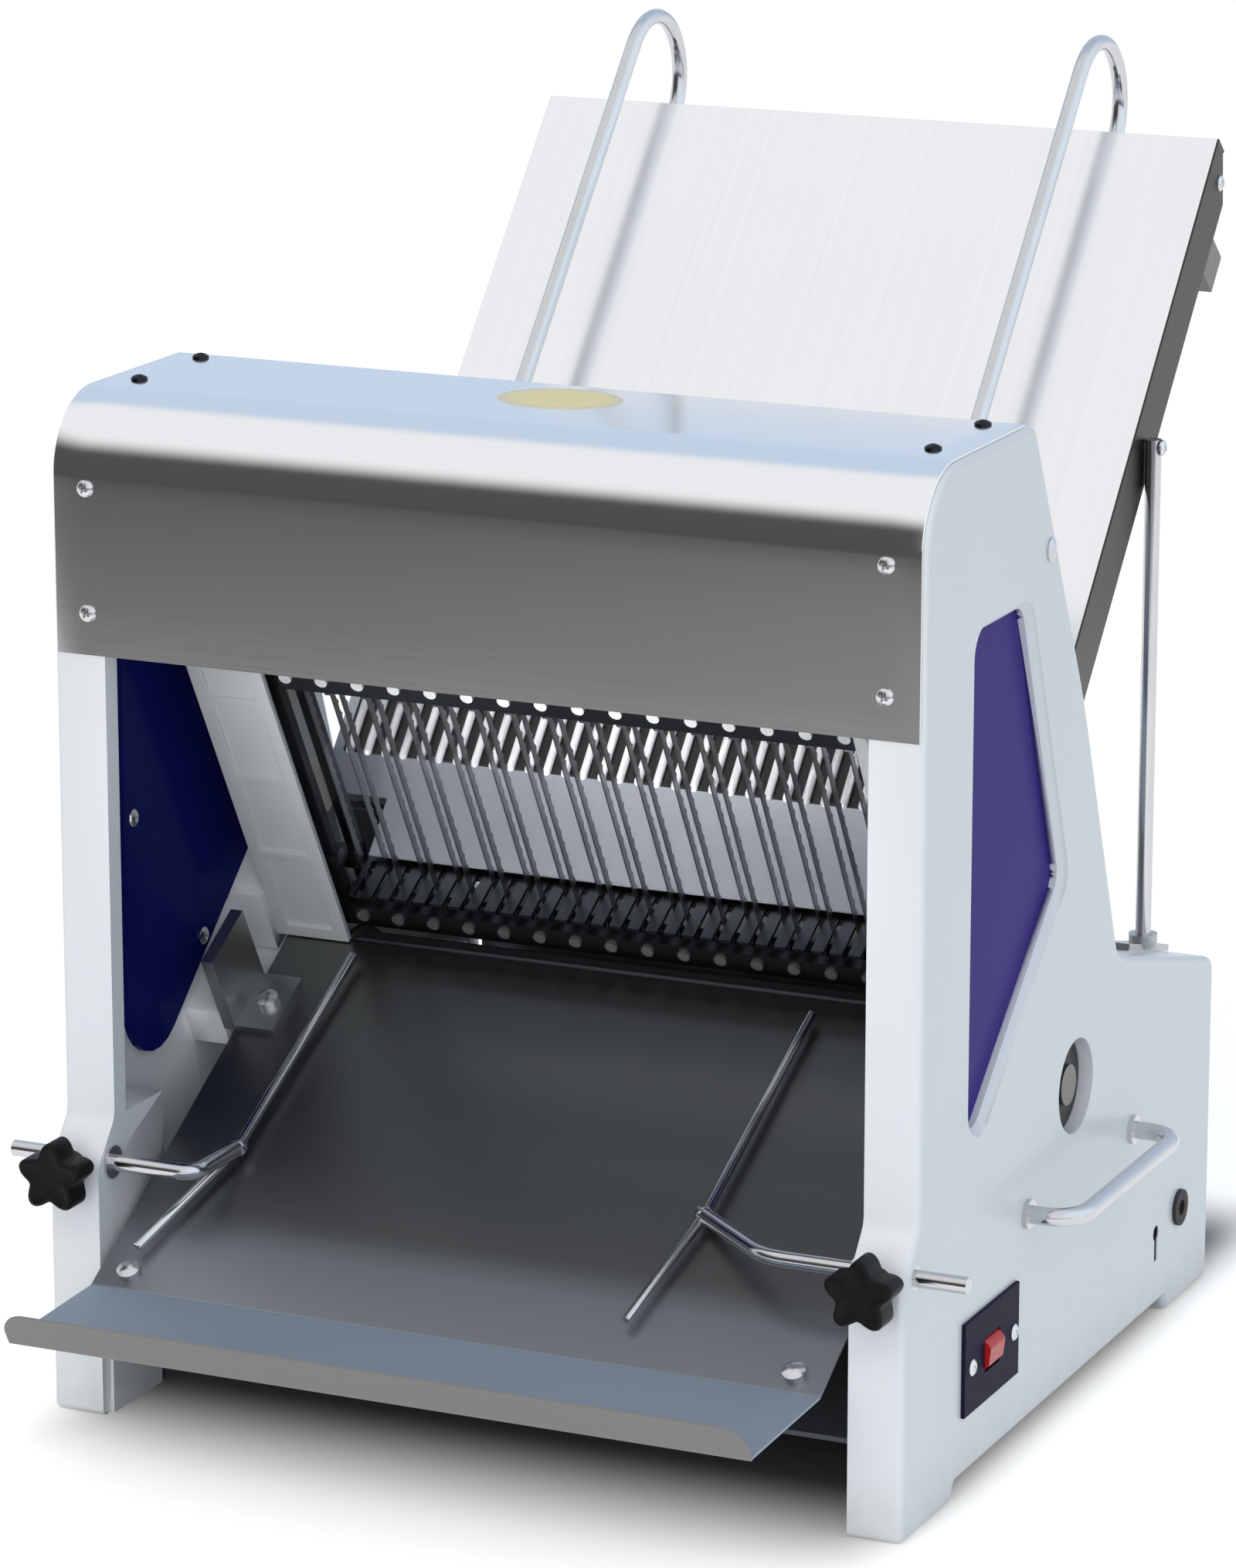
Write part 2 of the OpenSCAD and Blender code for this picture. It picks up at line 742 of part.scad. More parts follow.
// The rear cover closes the drive space from the floor edge up to the chute
cover_meet_y = chute_foot_y + cover_meet_s * cos(chute_slope);
cover_meet_z = chute_foot_z + cover_meet_s * sin(chute_slope) - flange_d;
rear_corners = [[panel_depth, rear_low_z], [panel_depth, deck_rear_h],
    [deck_front_y, deck_front_h], [cover_meet_y, cover_meet_z]];

module rear_cover() {
    color("gainsboro") extrude_x(-inner_x + rear_gap, inner_x - rear_gap)
        polygon(concat(rear_corners, [for (i = [3:-1:0]) rear_corners[i] - [sheet_t, sheet_t]]));
}

module base_plate() {
    color("dimgray") bar([-half_w + foot_t, leg_block_y, base_z],
        [half_w - foot_t, panel_depth - sheet_t, base_z + base_t]);
}

module tie_bars() {
    color("silver") for (place = tie_places)
        translate([0, place[0], place[1]]) rod_x(-inner_x, inner_x, tie_d);
}

module panel_bolts() {
    color("gainsboro") both_sides() {
        translate([half_w, tie_places[0][0], tie_places[0][1]]) rotate([0, 90, 0])
            pan_screw(bolt_d, bolt_h / 2);
        for (a = [45:90:315]) translate([inner_x - bearing_flange_t, shaft_y, shaft_h]) rotate([a, 0, 0])
            translate([0, bearing_bolt_r, 0]) rotate([0, -90, 0])
                cylinder(h = bearing_bolt_h, d = screw_d, $fn = 6);
    }
}

// The upper comb is a row of round fingers that hold the loaf down. They lie over a dark shelf
// and end in sockets of the rail at its rear, in front of the cross bar
blade_reach = (blade_count - 1) / 2;
finger_lift = tan(chute_slope - blade_lean);
comb_bar_q = finger_q(comb_bar_p);
finger_places = [for (i = [-blade_reach:blade_reach - 1]) (i + 1 / 2) * blade_pitch];
shelf_drop = finger_d / 2 / cos(chute_slope - blade_lean) + slide_fit;
function finger_q(p) = finger_foot_q + (p - finger_p[0]) * finger_lift;

module finger(x, from, to) {
    rod_between([x, from, finger_q(from)], [x, to, finger_q(to)], finger_d);
}

module upper_comb() {
    color("silver") at_blades() for (x = finger_places) {
        finger(x, finger_p[0], finger_p[1] + finger_socket);
        translate([x, finger_p[0], finger_foot_q]) sphere(d = finger_d - tip_ease);
    }
}

module comb_carrier() {
    half = blade_reach * blade_pitch;
    front = finger_q(shelf_p) - shelf_drop;
    step = finger_q(finger_p[1]);
    rear = comb_bar_p + over;
    color("dimgray") at_blades() difference() {
        union() {
            extrude_x(-half, half) polygon([[shelf_p, front], [finger_p[1], step - shelf_drop],
                [finger_p[1], step + finger_d], [rear, finger_q(rear) + finger_d],
                [rear, finger_q(rear) - shelf_drop - sheet_t], [shelf_p, front - sheet_t]]);
            translate([0, comb_bar_p, comb_bar_q - comb_bar[1] / 2])
                bar([-inner_x, 0, 0], [inner_x, comb_bar[0], comb_bar[1]]);
        }
        for (x = finger_places) finger(x, finger_p[1] - over, finger_p[1] + finger_socket);
    }
}

module lower_comb() {
    half = blade_reach * blade_pitch + blade_pitch / 2;
    color("dimgray") at_blades() difference() {
        bar([-half, comb_front_p, comb_q - comb_t], [half, comb_rear_p, comb_q]);
        for (i = [-blade_reach:blade_reach])
            bar([i * blade_pitch - comb_slot_w / 2, comb_front_p - over, comb_q - comb_t - over],
                [i * blade_pitch + comb_slot_w / 2, comb_slot_p, comb_q + over]);
    }
}

// The guide rail: a ribbed casting that stands beside the blades on each side
module guide_rail() {
    q_top = rail_top_q;
    color("white") at_blades() difference() {
        union() {
            bar([inner_x - rail_web_t, rail_front_p, rail_low_q], [inner_x, rail_band[1] - over, q_top]);
            bar([inner_x - rail_w, rail_front_p, rail_low_q],
                [inner_x, rail_front_p + rail_plate_t, q_top]);
        }
        for (q = [rail_low_q + rail_rim:rung_pitch:q_top - rung_pitch])
            bar([inner_x - rail_w + rail_rim, rail_front_p - over, q],
                [inner_x - rail_rim, rail_front_p + rail_pocket, q + rung_pitch - rung_t]);
    }
}

module left_guide_rail() {
    mirror([1, 0, 0]) guide_rail();
}

module right_guide_rail() {
    guide_rail();
}

// Three strips on each side leave two channels for the slide blocks
module slide_tracks() {
    color("ivory") both_sides() at_blades() for (k = [-1:1])
        bar([inner_x - rail_web_t - track_deep, k * track_gap - track_w / 2, track_q[0]],
            [inner_x - rail_web_t, k * track_gap + track_w / 2, track_q[1]]);
}

// A gang frame: two beams across the blades and a post at each side. side is -1 for the
// front gang and 1 for the rear one
module gang_frame(side) {
    p = side * post_centre;
    color("slategray") at_blades() translate([0, 0, -side * throw]) difference() {
        union() {
            bar([-post_x, p - beam_t / 2, upper_beam_q], [post_x, p + beam_t / 2, upper_beam_q + beam_h]);
            bar([-post_x, p - beam_t / 2, lower_beam_q],
                [post_x, p + beam_t / 2, lower_beam_q + low_beam_h]);
            both_sides() bar([post_x, p - beam_t / 2, lower_beam_q],
                [post_x + post_t, p + beam_t / 2, upper_beam_q + beam_h]);
            both_sides() translate([post_x, side * rod_pin_p, rod_pin_q]) rod_x(0, post_t, rod_eye_d);
        }
        for (i = gang_places(side), q = [upper_stud_q, lower_stud_q])
            translate([i * blade_pitch, p, q]) rotate([90, 0, 0])
                cylinder(h = 2 * beam_t, d = stud_d, center = true);
        both_sides() translate([post_x - over, side * rod_pin_p, rod_pin_q])
            rod_x(0, post_t + 2 * over, rod_pin_d);
    }
}

// Every other blade belongs to the front gang
function gang_places(side) = [for (i = [-blade_reach:blade_reach])
    if ((i + blade_reach) % 2 == (side < 0 ? 0 : 1)) i];

module front_blade_frame() {
    gang_frame(-1);
}

module rear_blade_frame() {
    gang_frame(1);
}

// A blade is a thin strip with scalloped teeth on the side that meets the loaf
blade_low = lower_stud_q - blade_tip;
blade_high = upper_stud_q + blade_tip;
teeth = floor((blade_high - blade_low - 4 * blade_tip) / tooth_pitch);
scallop_shares = [[0, 0], [0.2, 0.75], [0.5, 1], [0.8, 0.75]];
blade_outline = concat([[-blade_w / 2, blade_low], [blade_w / 2, blade_low]],
    [for (t = [0:teeth - 1], s = scallop_shares) [blade_w / 2 - s[1] * tooth_depth,
        blade_low + 2 * blade_tip + (t + s[0]) * tooth_pitch]],
    [[blade_w / 2, blade_low + 2 * blade_tip + teeth * tooth_pitch], [blade_w / 2, blade_high],
    [-blade_w / 2, blade_high], [-blade_w / 2, blade_high - 3 * blade_tip],
    [blade_w / 2 - blade_mid_w, blade_high - 4 * blade_tip],
    [blade_w / 2 - blade_mid_w, blade_low + 4 * blade_tip], [-blade_w / 2, blade_low + 3 * blade_tip]]);

module gang_blades(side) {
    color("gray") at_blades() translate([0, side * gang_gap / 2, -side * throw])
        for (i = gang_places(side)) difference() {
            extrude_x(i * blade_pitch - blade_t / 2, i * blade_pitch + blade_t / 2) polygon(blade_outline);
            for (q = [upper_stud_q, lower_stud_q])
                translate([i * blade_pitch - over, 0, q]) rod_x(0, 2 * over, stud_d / 2);
        }
}

module front_blades() {
    gang_blades(-1);
}

module rear_blades() {
    gang_blades(1);
}

// A stud through the beam holds each blade's end in its slot
module gang_studs(side) {
    face = post_centre + beam_t / 2;
    color("gainsboro") at_blades() translate([0, 0, -side * throw])
        for (i = gang_places(side), q = [upper_stud_q, lower_stud_q])
            translate([i * blade_pitch, 0, q]) scale([1, side, 1]) difference() {
                union() {
                    translate([0, face, 0]) rotate([-90, 0, 0]) cylinder(h = stud_head_t, d = stud_head_d);
                    rotate([-90, 0, 0]) cylinder(h = face + over / 2, d = stud_d);
                }
                bar([-blade_t / 2 - run_fit, -over, -stud_head_d],
                    [blade_t / 2 + run_fit, beam_back, stud_head_d]);
            }
}

module front_blade_studs() {
    gang_studs(-1);
}

module rear_blade_studs() {
    gang_studs(1);
}

// Blocks on the posts run in the channels of the guide rails
module gang_blocks(side) {
    p = side * post_centre;
    low = side < 0 ? -track_gap + track_w / 2 : track_w / 2;
    high = side < 0 ? -track_w / 2 : track_gap - track_w / 2;
    color("ivory") both_sides() at_blades() translate([0, 0, -side * throw]) for (q = block_q)
        bar([post_x + post_t, low + slide_fit, q],
            [inner_x - rail_web_t - slide_fit, high - slide_fit, q + block_h]);
}

module front_slide_blocks() {
    gang_blocks(-1);
}

module rear_slide_blocks() {
    gang_blocks(1);
}

// A connecting rod: a strap round its eccentric and an eye on the post's pin
module gang_rods(side) {
    x = side < 0 ? front_rod_x : rear_rod_x;
    pin = [side * rod_pin_p, rod_pin_q - side * throw];
    strap = [shaft_p, shaft_q - side * throw];
    lean = atan2(pin[0] - strap[0], pin[1] - strap[1]);
    reach = norm(pin - strap);
    color("darkgray") both_sides() at_blades() translate([x, pin[0], pin[1]]) rotate([-lean, 0, 0])
        difference() {
            union() {
                rod_x(0, rod_t, rod_eye_d);
                translate([0, 0, -reach]) rod_x(0, rod_t, 2 * strap_r);
                bar([0, -rod_w / 2, -reach], [rod_t, rod_w / 2, 0]);
            }
            translate([-over, 0, 0]) rod_x(0, rod_t + 2 * over, rod_pin_d + 2 * run_fit);
            translate([-over, 0, -reach]) rod_x(0, rod_t + 2 * over, 2 * strap_bore_r);
        }
}

module front_connecting_rods() {
    gang_rods(-1);
}

module rear_connecting_rods() {
    gang_rods(1);
}

module gang_pins(side) {
    x = side < 0 ? front_rod_x : rear_rod_x;
    color("gainsboro") both_sides() at_blades()
        translate([0, side * rod_pin_p, rod_pin_q - side * throw]) {
            rod_x(post_x, x + rod_t + rod_gap, rod_pin_d);
            translate([x + rod_t + rod_gap, 0, 0]) rod_x(0, stud_head_t, rod_eye_d - stud_head_t);
        }
}

module front_rod_pins() {
    gang_pins(-1);
}

module rear_rod_pins() {
    gang_pins(1);
}

// The drive: shaft, eccentrics and pulleys turn about one axis
module at_shaft() {
    translate([0, shaft_y, shaft_h]) children();
}

shaft_end = wall_x + wall_t / 2;

module main_shaft() {
    color("silver") at_shaft() rod_x(-shaft_end, shaft_end, shaft_d);
}

// Each strap runs between two flanges that are bored off centre
module eccentric_flange(x, t, side) {
    at_shaft() rotate([blade_lean, 0, 0]) difference() {
        translate([x, 0, -side * throw]) rod_x(0, t, 2 * eccentric_r);
        translate([x - over, 0, 0]) rod_x(0, t + 2 * over, shaft_d);
    }
}

module eccentrics() {
    color("dimgray") both_sides() {
        eccentric_flange(front_rod_x - rod_gap - flange_t, flange_t, -1);
        eccentric_flange(front_rod_x + rod_t + rod_gap, flange_gap / 2, -1);
        eccentric_flange(rear_rod_x - rod_gap - flange_gap / 2, flange_gap / 2, 1);
        eccentric_flange(rear_rod_x + rod_t + rod_gap, flange_t, 1);
    }
}

// A grooved pulley about X, bored for its shaft
module pulley(d, w, bore) {
    rotate([90, 0, 90]) rotate_extrude() polygon([[bore / 2, -w / 2], [d / 2, -w / 2],
        [d / 2, -belt_w / 2 - over / 2], [d / 2 - groove_d, -belt_w / 4], [d / 2 - groove_d, belt_w / 4],
        [d / 2, belt_w / 2 + over / 2], [d / 2, w / 2], [bore / 2, w / 2]]);
}

module driven_pulley() {
    color("dimgray") at_shaft() translate([driven_x, 0, 0]) pulley(driven_d, pulley_w, shaft_d);
}

module at_motor() {
    translate([driven_x, motor_y, motor_z]) children();
}

module motor_pulley() {
    color("dimgray") at_motor() {
        pulley(motor_pulley_d, pulley_w, motor_shaft_d);
        rod_x(-pulley_w - motor_bell, pulley_w / 2, motor_shaft_d);
    }
}

// A belt with straight runs between two arcs, clear of the grooves
module belt_loop(big, small, span) {
    tilt = asin((big - small) / span);
    polygon(concat(
        [for (i = [0:2 * arc_steps]) let (a = 90 - tilt + (180 + 2 * tilt) * i / (2 * arc_steps))
            big * [cos(a), sin(a)]],
        [for (i = [0:2 * arc_steps]) let (a = -90 + tilt + (180 - 2 * tilt) * i / (2 * arc_steps))
            [span, 0] + small * [cos(a), sin(a)]]));
}

module drive_belt() {
    span = norm([motor_y - shaft_y, motor_z - shaft_h]);
    dip = atan2(motor_z - shaft_h, motor_y - shaft_y);
    big = driven_d / 2 - groove_d + slide_fit + arc_slack(driven_d / 2);
    small = motor_pulley_d / 2 - groove_d + slide_fit + arc_slack(motor_pulley_d / 2);
    color("black") at_shaft() translate([driven_x - belt_w / 4 + slide_fit / 2, 0, 0]) rotate([dip, 0, 0])
        rotate([90, 0, 90]) linear_extrude(belt_w / 2 - slide_fit) difference() {
            belt_loop(big + belt_t, small + belt_t, span);
            belt_loop(big, small, span);
        }
}

// How far the flat of a belt segment cuts inside its arc
function arc_slack(r) = r * (1 - cos(360 / (4 * arc_steps)));

// The motor: finned casing, end bells and a foot on the base plate
module motor() {
    far = driven_x - pulley_w / 2 - motor_bell;
    color("darkgray") {
        at_motor() translate([far - driven_x - motor_len, 0, 0]) difference() {
            union() {
                rod_x(0, motor_len, motor_d);
                translate([-motor_bell / 2, 0, 0]) rod_x(0, motor_len + motor_bell, motor_d * 2 / 3);
                for (i = [0:motor_fins - 1]) rotate([i * 360 / motor_fins, 0, 0])
                    bar([motor_bell, -motor_fin_t / 2, motor_d / 3],
                        [motor_len - motor_bell, motor_fin_t / 2, motor_d / 2 + motor_fin_h]);
            }
            translate([motor_len - motor_bell, 0, 0]) rod_x(0, 3 * motor_bell, motor_shaft_d + 2 * run_fit);
        }
        bar([far - motor_len + 2 * motor_bell, motor_y - motor_foot_w / 2, base_z + base_t],
            [far - 2 * motor_bell, motor_y + motor_foot_w / 2, base_z + base_t + motor_bell / 2]);
        bar([far - motor_len + 2 * motor_bell, motor_y - motor_d / 4, base_z + base_t],
            [far - 2 * motor_bell, motor_y + motor_d / 4, motor_z - motor_d / 4]);
    }
}

// Flanged bearings bolted to the inner faces of the panels
module bearings() {
    color("slategray") both_sides() at_shaft() difference() {
        union() {
            rod_x(inner_x - bearing_flange_t, inner_x, bearing_flange_d);
            rod_x(inner_x, wall_x, bearing_hole_d - 2 * loose_fit);
        }
        rod_x(inner_x - panel_t, half_w, shaft_d + 2 * run_fit);
    }
}

// The lifting handles are bent tubes
module handle() {
    r = handle_d / 2;
    color("silver") {
        for (s = [0, 1]) translate([half_w, handle_y + s * handle_len, handle_z]) {
            rod_x(0, handle_out - handle_bend, handle_d);
            rod_x(0, handle_pad_t, handle_pad_d);
            translate([handle_out - handle_bend, (s == 0 ? 1 : -1) * handle_bend, 0])
                rotate([0, 0, s == 0 ? -90 : 0]) rotate_extrude(angle = 90)
                    translate([handle_bend, 0]) circle(r = r);
        }
        translate([half_w + handle_out, handle_y + handle_bend, handle_z]) rotate([-90, 0, 0])
            cylinder(h = handle_len - 2 * handle_bend, r = r);
    }
}

module left_handle() {
    mirror([1, 0, 0]) handle();
}

module right_handle() {
    handle();
}

// The switch on the right panel: plate, box and red rocker
switch_mid = [half_w, switch_y + switch_len / 2, switch_z + switch_h / 2];

module switch_plate() {
    color("darkslategray") translate(switch_mid) difference() {
        bar([0, -switch_len / 2, -switch_h / 2], [switch_plate_t, switch_len / 2, switch_h / 2]);
        bar([-over, -rocker_len / 2 - loose_fit, -rocker_h / 2 - loose_fit],
            [switch_plate_t + over, rocker_len / 2 + loose_fit, rocker_h / 2 + loose_fit]);
    }
}

module switch_body() {
    color("black") translate(switch_mid) difference() {
        bar([-switch_box[1], -switch_box[0] / 2, -switch_box[2] / 2],
            [0, switch_box[0] / 2, switch_box[2] / 2]);
        bar([-rocker_deep - rocker_out, -rocker_len / 2 - loose_fit, -rocker_h / 2 - loose_fit],
            [over, rocker_len / 2 + loose_fit, rocker_h / 2 + loose_fit]);
    }
}

module switch_screws() {
    color("gainsboro") translate(switch_mid) for (s = [-1, 1])
        translate([switch_plate_t, s * (switch_len / 2 - screw_d), 0]) rotate([0, 90, 0])
            pan_screw(screw_d, screw_h);
}

rocker_tilt = 7;

module rocker() {
    color("red") translate(switch_mid) translate([-rocker_deep / 2, 0, 0]) intersection() {
        rotate([0, rocker_tilt, 0]) bar([-rocker_deep / 2, -rocker_len / 2, -rocker_h / 2],
            [rocker_deep + switch_plate_t, rocker_len / 2, rocker_h / 2]);
        rotate([90, 0, 0]) cylinder(h = rocker_len, r = rocker_h / 2, center = true);
    }
}

module cable_grommet() {
    color("black") translate([0, grommet_y, grommet_z]) difference() {
        union() {
            rod_x(wall_x, half_w, grommet_d);
            rod_x(half_w, half_w + grommet_lip, grommet_d + 2 * grommet_lip);
        }
        rod_x(wall_x - over, half_w + 2 * grommet_lip, grommet_bore);
    }
}

// A tray guide: a clamped rod along X, an arm bent back from it and the wire on the arm.
// The arm lies level at the height where it meets the wire
function on_wire(x, s) = [x, crease_y + s * cos(blade_lean) - wire_lift * sin(blade_lean),
    crease_z + s * sin(blade_lean) + wire_lift * cos(blade_lean)];

module tray_guide(side) {
    k = side < 0 ? 0 : 1;
    joint = on_wire(wire_x[k], wire_bend_s);
    elbow = [side * arm_bend_x[k], arm_y, arm_z];
    turn = atan2(joint[1] - arm_y, side * (elbow[0] - joint[0]));
    setback = arm_bend_r * tan(turn / 2);
    color("silver") {
        translate(elbow) scale([side, 1, 1]) {
            rod_x(setback - over, half_w + arm_out - arm_bend_x[k], arm_d);
            translate([setback, arm_bend_r, 0]) rotate(-90 - turn) rotate_extrude(angle = turn)
                translate([arm_bend_r, 0]) circle(d = arm_d + 2 * slide_fit);
            rotate(180 - turn) rod_x(setback - over, norm(joint - elbow) + arm_d / 2, arm_d);
        }
        rod_between(on_wire(wire_x[k] + wire_skew[k], wire_from), joint, wire_d);
        rod_between(joint, on_wire(wire_x[k] + wire_d, wire_to), wire_d);
    }
}

module left_tray_guide() {
    tray_guide(-1);
}

module right_tray_guide() {
    tray_guide(1);
}

module clamp_bush() {
    color("silver") translate([0, arm_y, arm_z]) difference() {
        union() {
            rod_x(inner_x, half_w, bush_d);
            rod_x(inner_x - bush_lip_t, inner_x, bush_lip);
        }
        rod_x(inner_x - panel_t, half_w + panel_t, arm_d + 2 * run_fit);
    }
}

module left_clamp_bush() {
    mirror([1, 0, 0]) clamp_bush();
}

module right_clamp_bush() {
    clamp_bush();
}

// A star knob whose stud presses on the clamp bush. Its edge is a wave round a circle
star_steps = 4 * arc_steps * knob_lobes;
star_edge = [for (i = [0:star_steps - 1]) let (a = 360 * i / star_steps)
    (knob_d / 2 - knob_dip * (1 - cos(knob_lobes * (a - 90))) / 2) * [cos(a), sin(a)]];

module star_knob() {
    stud_in = foot_step + arm_y - bush_d / 2 - slide_fit;
    color("black") translate([half_w - panel_t / 2, -foot_step, arm_z]) rotate([90, 0, 0]) {
        translate([0, 0, knob_neck]) linear_extrude(knob_t) polygon(star_edge);
        translate([0, 0, slide_fit]) cylinder(h = knob_neck, d = knob_neck_d);
        translate([0, 0, -stud_in]) cylinder(h = stud_in + knob_neck / 2, d = knob_stud_d);
    }
}

module left_knob() {
    mirror([1, 0, 0]) star_knob();
}

module right_knob() {
    star_knob();
}

// A loaf guide: a cane-shaped rod that hooks over the top of the chute
module loaf_guide(x) {
    r = guide_d / 2;
    color("silver") at_chute() translate([x, 0, 0]) {
        translate([0, guide_from, guide_gap]) rotate([-90, 0, 0])
            cylinder(h = chute_len + hook_over - guide_from, r = r);
        translate([0, guide_from, guide_gap]) sphere(r = r);
        translate([0, chute_len + hook_over, guide_gap - hook_r]) rotate([0, -90, 0])
            rotate_extrude(angle = 180)
            translate([hook_r, 0]) circle(r = r);
        translate([0, bar_s + clamp_size[1] / 2, bar_drop]) rotate([-90, 0, 0])
            cylinder(h = chute_len + hook_over - bar_s - clamp_size[1] / 2, r = r);
    }
}

module left_loaf_guide() {
    loaf_guide(-left_loaf_x);
}

module right_loaf_guide() {
    loaf_guide(right_loaf_x);
}

// The clamp that slides on the bar with its loaf guide, and its thumb screw
module guide_clamp(x) {
    color("dimgray") at_chute() translate([x, bar_s, bar_drop]) difference() {
        union() {
            bar(-clamp_size / 2, clamp_size / 2);
            translate([0, 0, -clamp_size[2] / 2 - thumb_t]) cylinder(h = thumb_t, d = thumb_d);
        }
        rod_x(-clamp_size[0], clamp_size[0], bar_d + 2 * run_fit);
    }
}

module left_guide_clamp() {
    guide_clamp(-left_loaf_x);
}

module right_guide_clamp() {
    guide_clamp(right_loaf_x);
}

// Moves the origin under the middle of the part's box
module placed() {
    translate([0, -centre_y, 0]) children();
}

placed() left_side_panel();
placed() right_side_panel();
placed() top_cover();
placed() cover_screws();
placed() left_window();
placed() right_window();
placed() window_screws();
placed() delivery_tray();
placed() tray_brackets();
placed() tray_bolts();
placed() feed_chute();
placed() chute_stays();
placed() stay_brackets();
placed() guide_bar();
placed() rear_cover();
placed() base_plate();
placed() tie_bars();
placed() panel_bolts();
placed() upper_comb();
placed() comb_carrier();
placed() lower_comb();
placed() left_guide_rail();
placed() right_guide_rail();
placed() slide_tracks();
placed() motor();
placed() bearings();
placed() drive_belt();
placed() left_handle();
placed() right_handle();
placed() switch_plate();
placed() switch_body();
placed() switch_screws();
placed() cable_grommet();
placed() front_blade_frame();
placed() rear_blade_frame();
placed() front_blades();
placed() rear_blades();
placed() front_blade_studs();
placed() rear_blade_studs();
placed() front_slide_blocks();
placed() rear_slide_blocks();
placed() front_connecting_rods();
placed() rear_connecting_rods();
placed() front_rod_pins();
placed() rear_rod_pins();
placed() main_shaft();
placed() eccentrics();
placed() driven_pulley();
placed() motor_pulley();
placed() left_tray_guide();
placed() right_tray_guide();
placed() left_clamp_bush();
placed() right_clamp_bush();
placed() left_knob();
placed() right_knob();
placed() left_loaf_guide();
placed() right_loaf_guide();
placed() left_guide_clamp();
placed() right_guide_clamp();
placed() rocker();
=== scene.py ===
# %% [markdown]
# # A bread slicer, dressed from its CAD frame
# The machine is a white-enamelled pair of castings with a bent stainless cover over them, two gangs
# of thin blades in the mouth, a dark sheet tray in front and a steep polished chute behind. The
# CAD solids already carry every size, so they are loaded as a fixed frame and only dressed here:
# finishes are procedural, and a few pieces whose edges need a finer form are drawn again.

# %% Load the frame
import json
import bmesh
import bpy
import numpy as np
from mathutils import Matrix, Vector


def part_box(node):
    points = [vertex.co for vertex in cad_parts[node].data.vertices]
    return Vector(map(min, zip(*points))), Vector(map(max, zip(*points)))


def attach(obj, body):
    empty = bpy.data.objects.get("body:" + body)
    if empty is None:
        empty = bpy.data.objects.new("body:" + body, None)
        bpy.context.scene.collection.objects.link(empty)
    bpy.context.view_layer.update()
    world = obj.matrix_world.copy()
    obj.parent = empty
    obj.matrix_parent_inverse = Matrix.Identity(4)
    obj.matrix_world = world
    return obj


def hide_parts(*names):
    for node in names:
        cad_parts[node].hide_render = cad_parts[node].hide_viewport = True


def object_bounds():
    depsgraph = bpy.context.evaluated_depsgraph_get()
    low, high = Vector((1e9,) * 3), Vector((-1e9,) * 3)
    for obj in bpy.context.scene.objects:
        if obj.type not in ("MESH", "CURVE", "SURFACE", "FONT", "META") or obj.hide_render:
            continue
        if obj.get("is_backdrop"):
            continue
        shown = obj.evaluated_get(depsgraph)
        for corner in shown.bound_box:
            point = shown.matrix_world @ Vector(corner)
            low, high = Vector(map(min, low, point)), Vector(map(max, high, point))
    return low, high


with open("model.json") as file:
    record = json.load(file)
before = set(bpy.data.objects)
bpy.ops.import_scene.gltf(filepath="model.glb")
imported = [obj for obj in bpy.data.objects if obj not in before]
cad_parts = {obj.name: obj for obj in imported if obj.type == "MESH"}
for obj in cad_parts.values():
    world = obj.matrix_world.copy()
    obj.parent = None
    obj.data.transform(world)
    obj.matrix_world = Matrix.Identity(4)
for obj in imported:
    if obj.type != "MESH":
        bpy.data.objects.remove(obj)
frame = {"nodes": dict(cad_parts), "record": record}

cad, record = frame["nodes"], frame["record"]
body_of = {node: body for body, nodes in record["behaviour"]["bodies"].items() for node in nodes}
slot_of = {row["node"]: row["material_slot"] for row in record["subparts"]}
cad_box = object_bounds()
scene = bpy.context.scene
print("CAD nodes:", len(cad), "box:", [np.round(corner, 3).tolist() for corner in cad_box])

# %% [markdown]
# The camera stands right of the machine, at about head height, with a long lens. Its place was
# worked out from corners of the panels whose sizes are known, so it could be typed in as three
# numbers, a turn and a lens. A target constraint would also do, but other views move the camera,
# and plain numbers leave nothing to undo.

# %% Camera
lens = bpy.data.cameras.new("studio_camera")
lens.lens, lens.sensor_width = 143.37, 36.0
camera = bpy.data.objects.new("studio_camera", lens)
camera.location = (1.4976, -3.3516, 1.2953)
camera.rotation_euler = np.radians((75.58, 0.0, 24.46))
scene.collection.objects.link(camera)
scene.camera = camera
print("camera:", round(lens.lens, 1), "mm lens at", np.round(camera.location, 3).tolist())

# %% [markdown]
# A finish is a small network of nodes. Wiring nodes by hand takes a line for each link, so two
# helpers do it: `Wire` is one output that can be added, multiplied and divided like a number, and
# `Finish.node` makes any node from its type, its settings and the values of its sockets. Numbers
# that are the same all over a piece go straight on the socket, so that they survive an export.

# %% Node helpers
class Wire:
    """One output of a node tree; arithmetic on it adds Math nodes."""

    def __init__(self, finish, output):
        self.finish, self.output = finish, output

    def maths(self, operation, first, second):
        return self.finish.node("Math", {"operation": operation}, {0: first, 1: second})

    def __add__(self, other):
        return self.maths("ADD", self, other)

    def __radd__(self, other):
        return self.maths("ADD", other, self)

    def __sub__(self, other):
        return self.maths("SUBTRACT", self, other)

    def __rsub__(self, other):
        return self.maths("SUBTRACT", other, self)

    def __mul__(self, other):
        return self.maths("MULTIPLY", self, other)

    def __rmul__(self, other):
        return self.maths("MULTIPLY", other, self)

    def __truediv__(self, other):
        return self.maths("DIVIDE", self, other)

    def __rtruediv__(self, other):
        return self.maths("DIVIDE", other, self)

    def __pow__(self, other):
        return self.maths("POWER", self, other)

    def __rpow__(self, other):
        return self.maths("POWER", other, self)


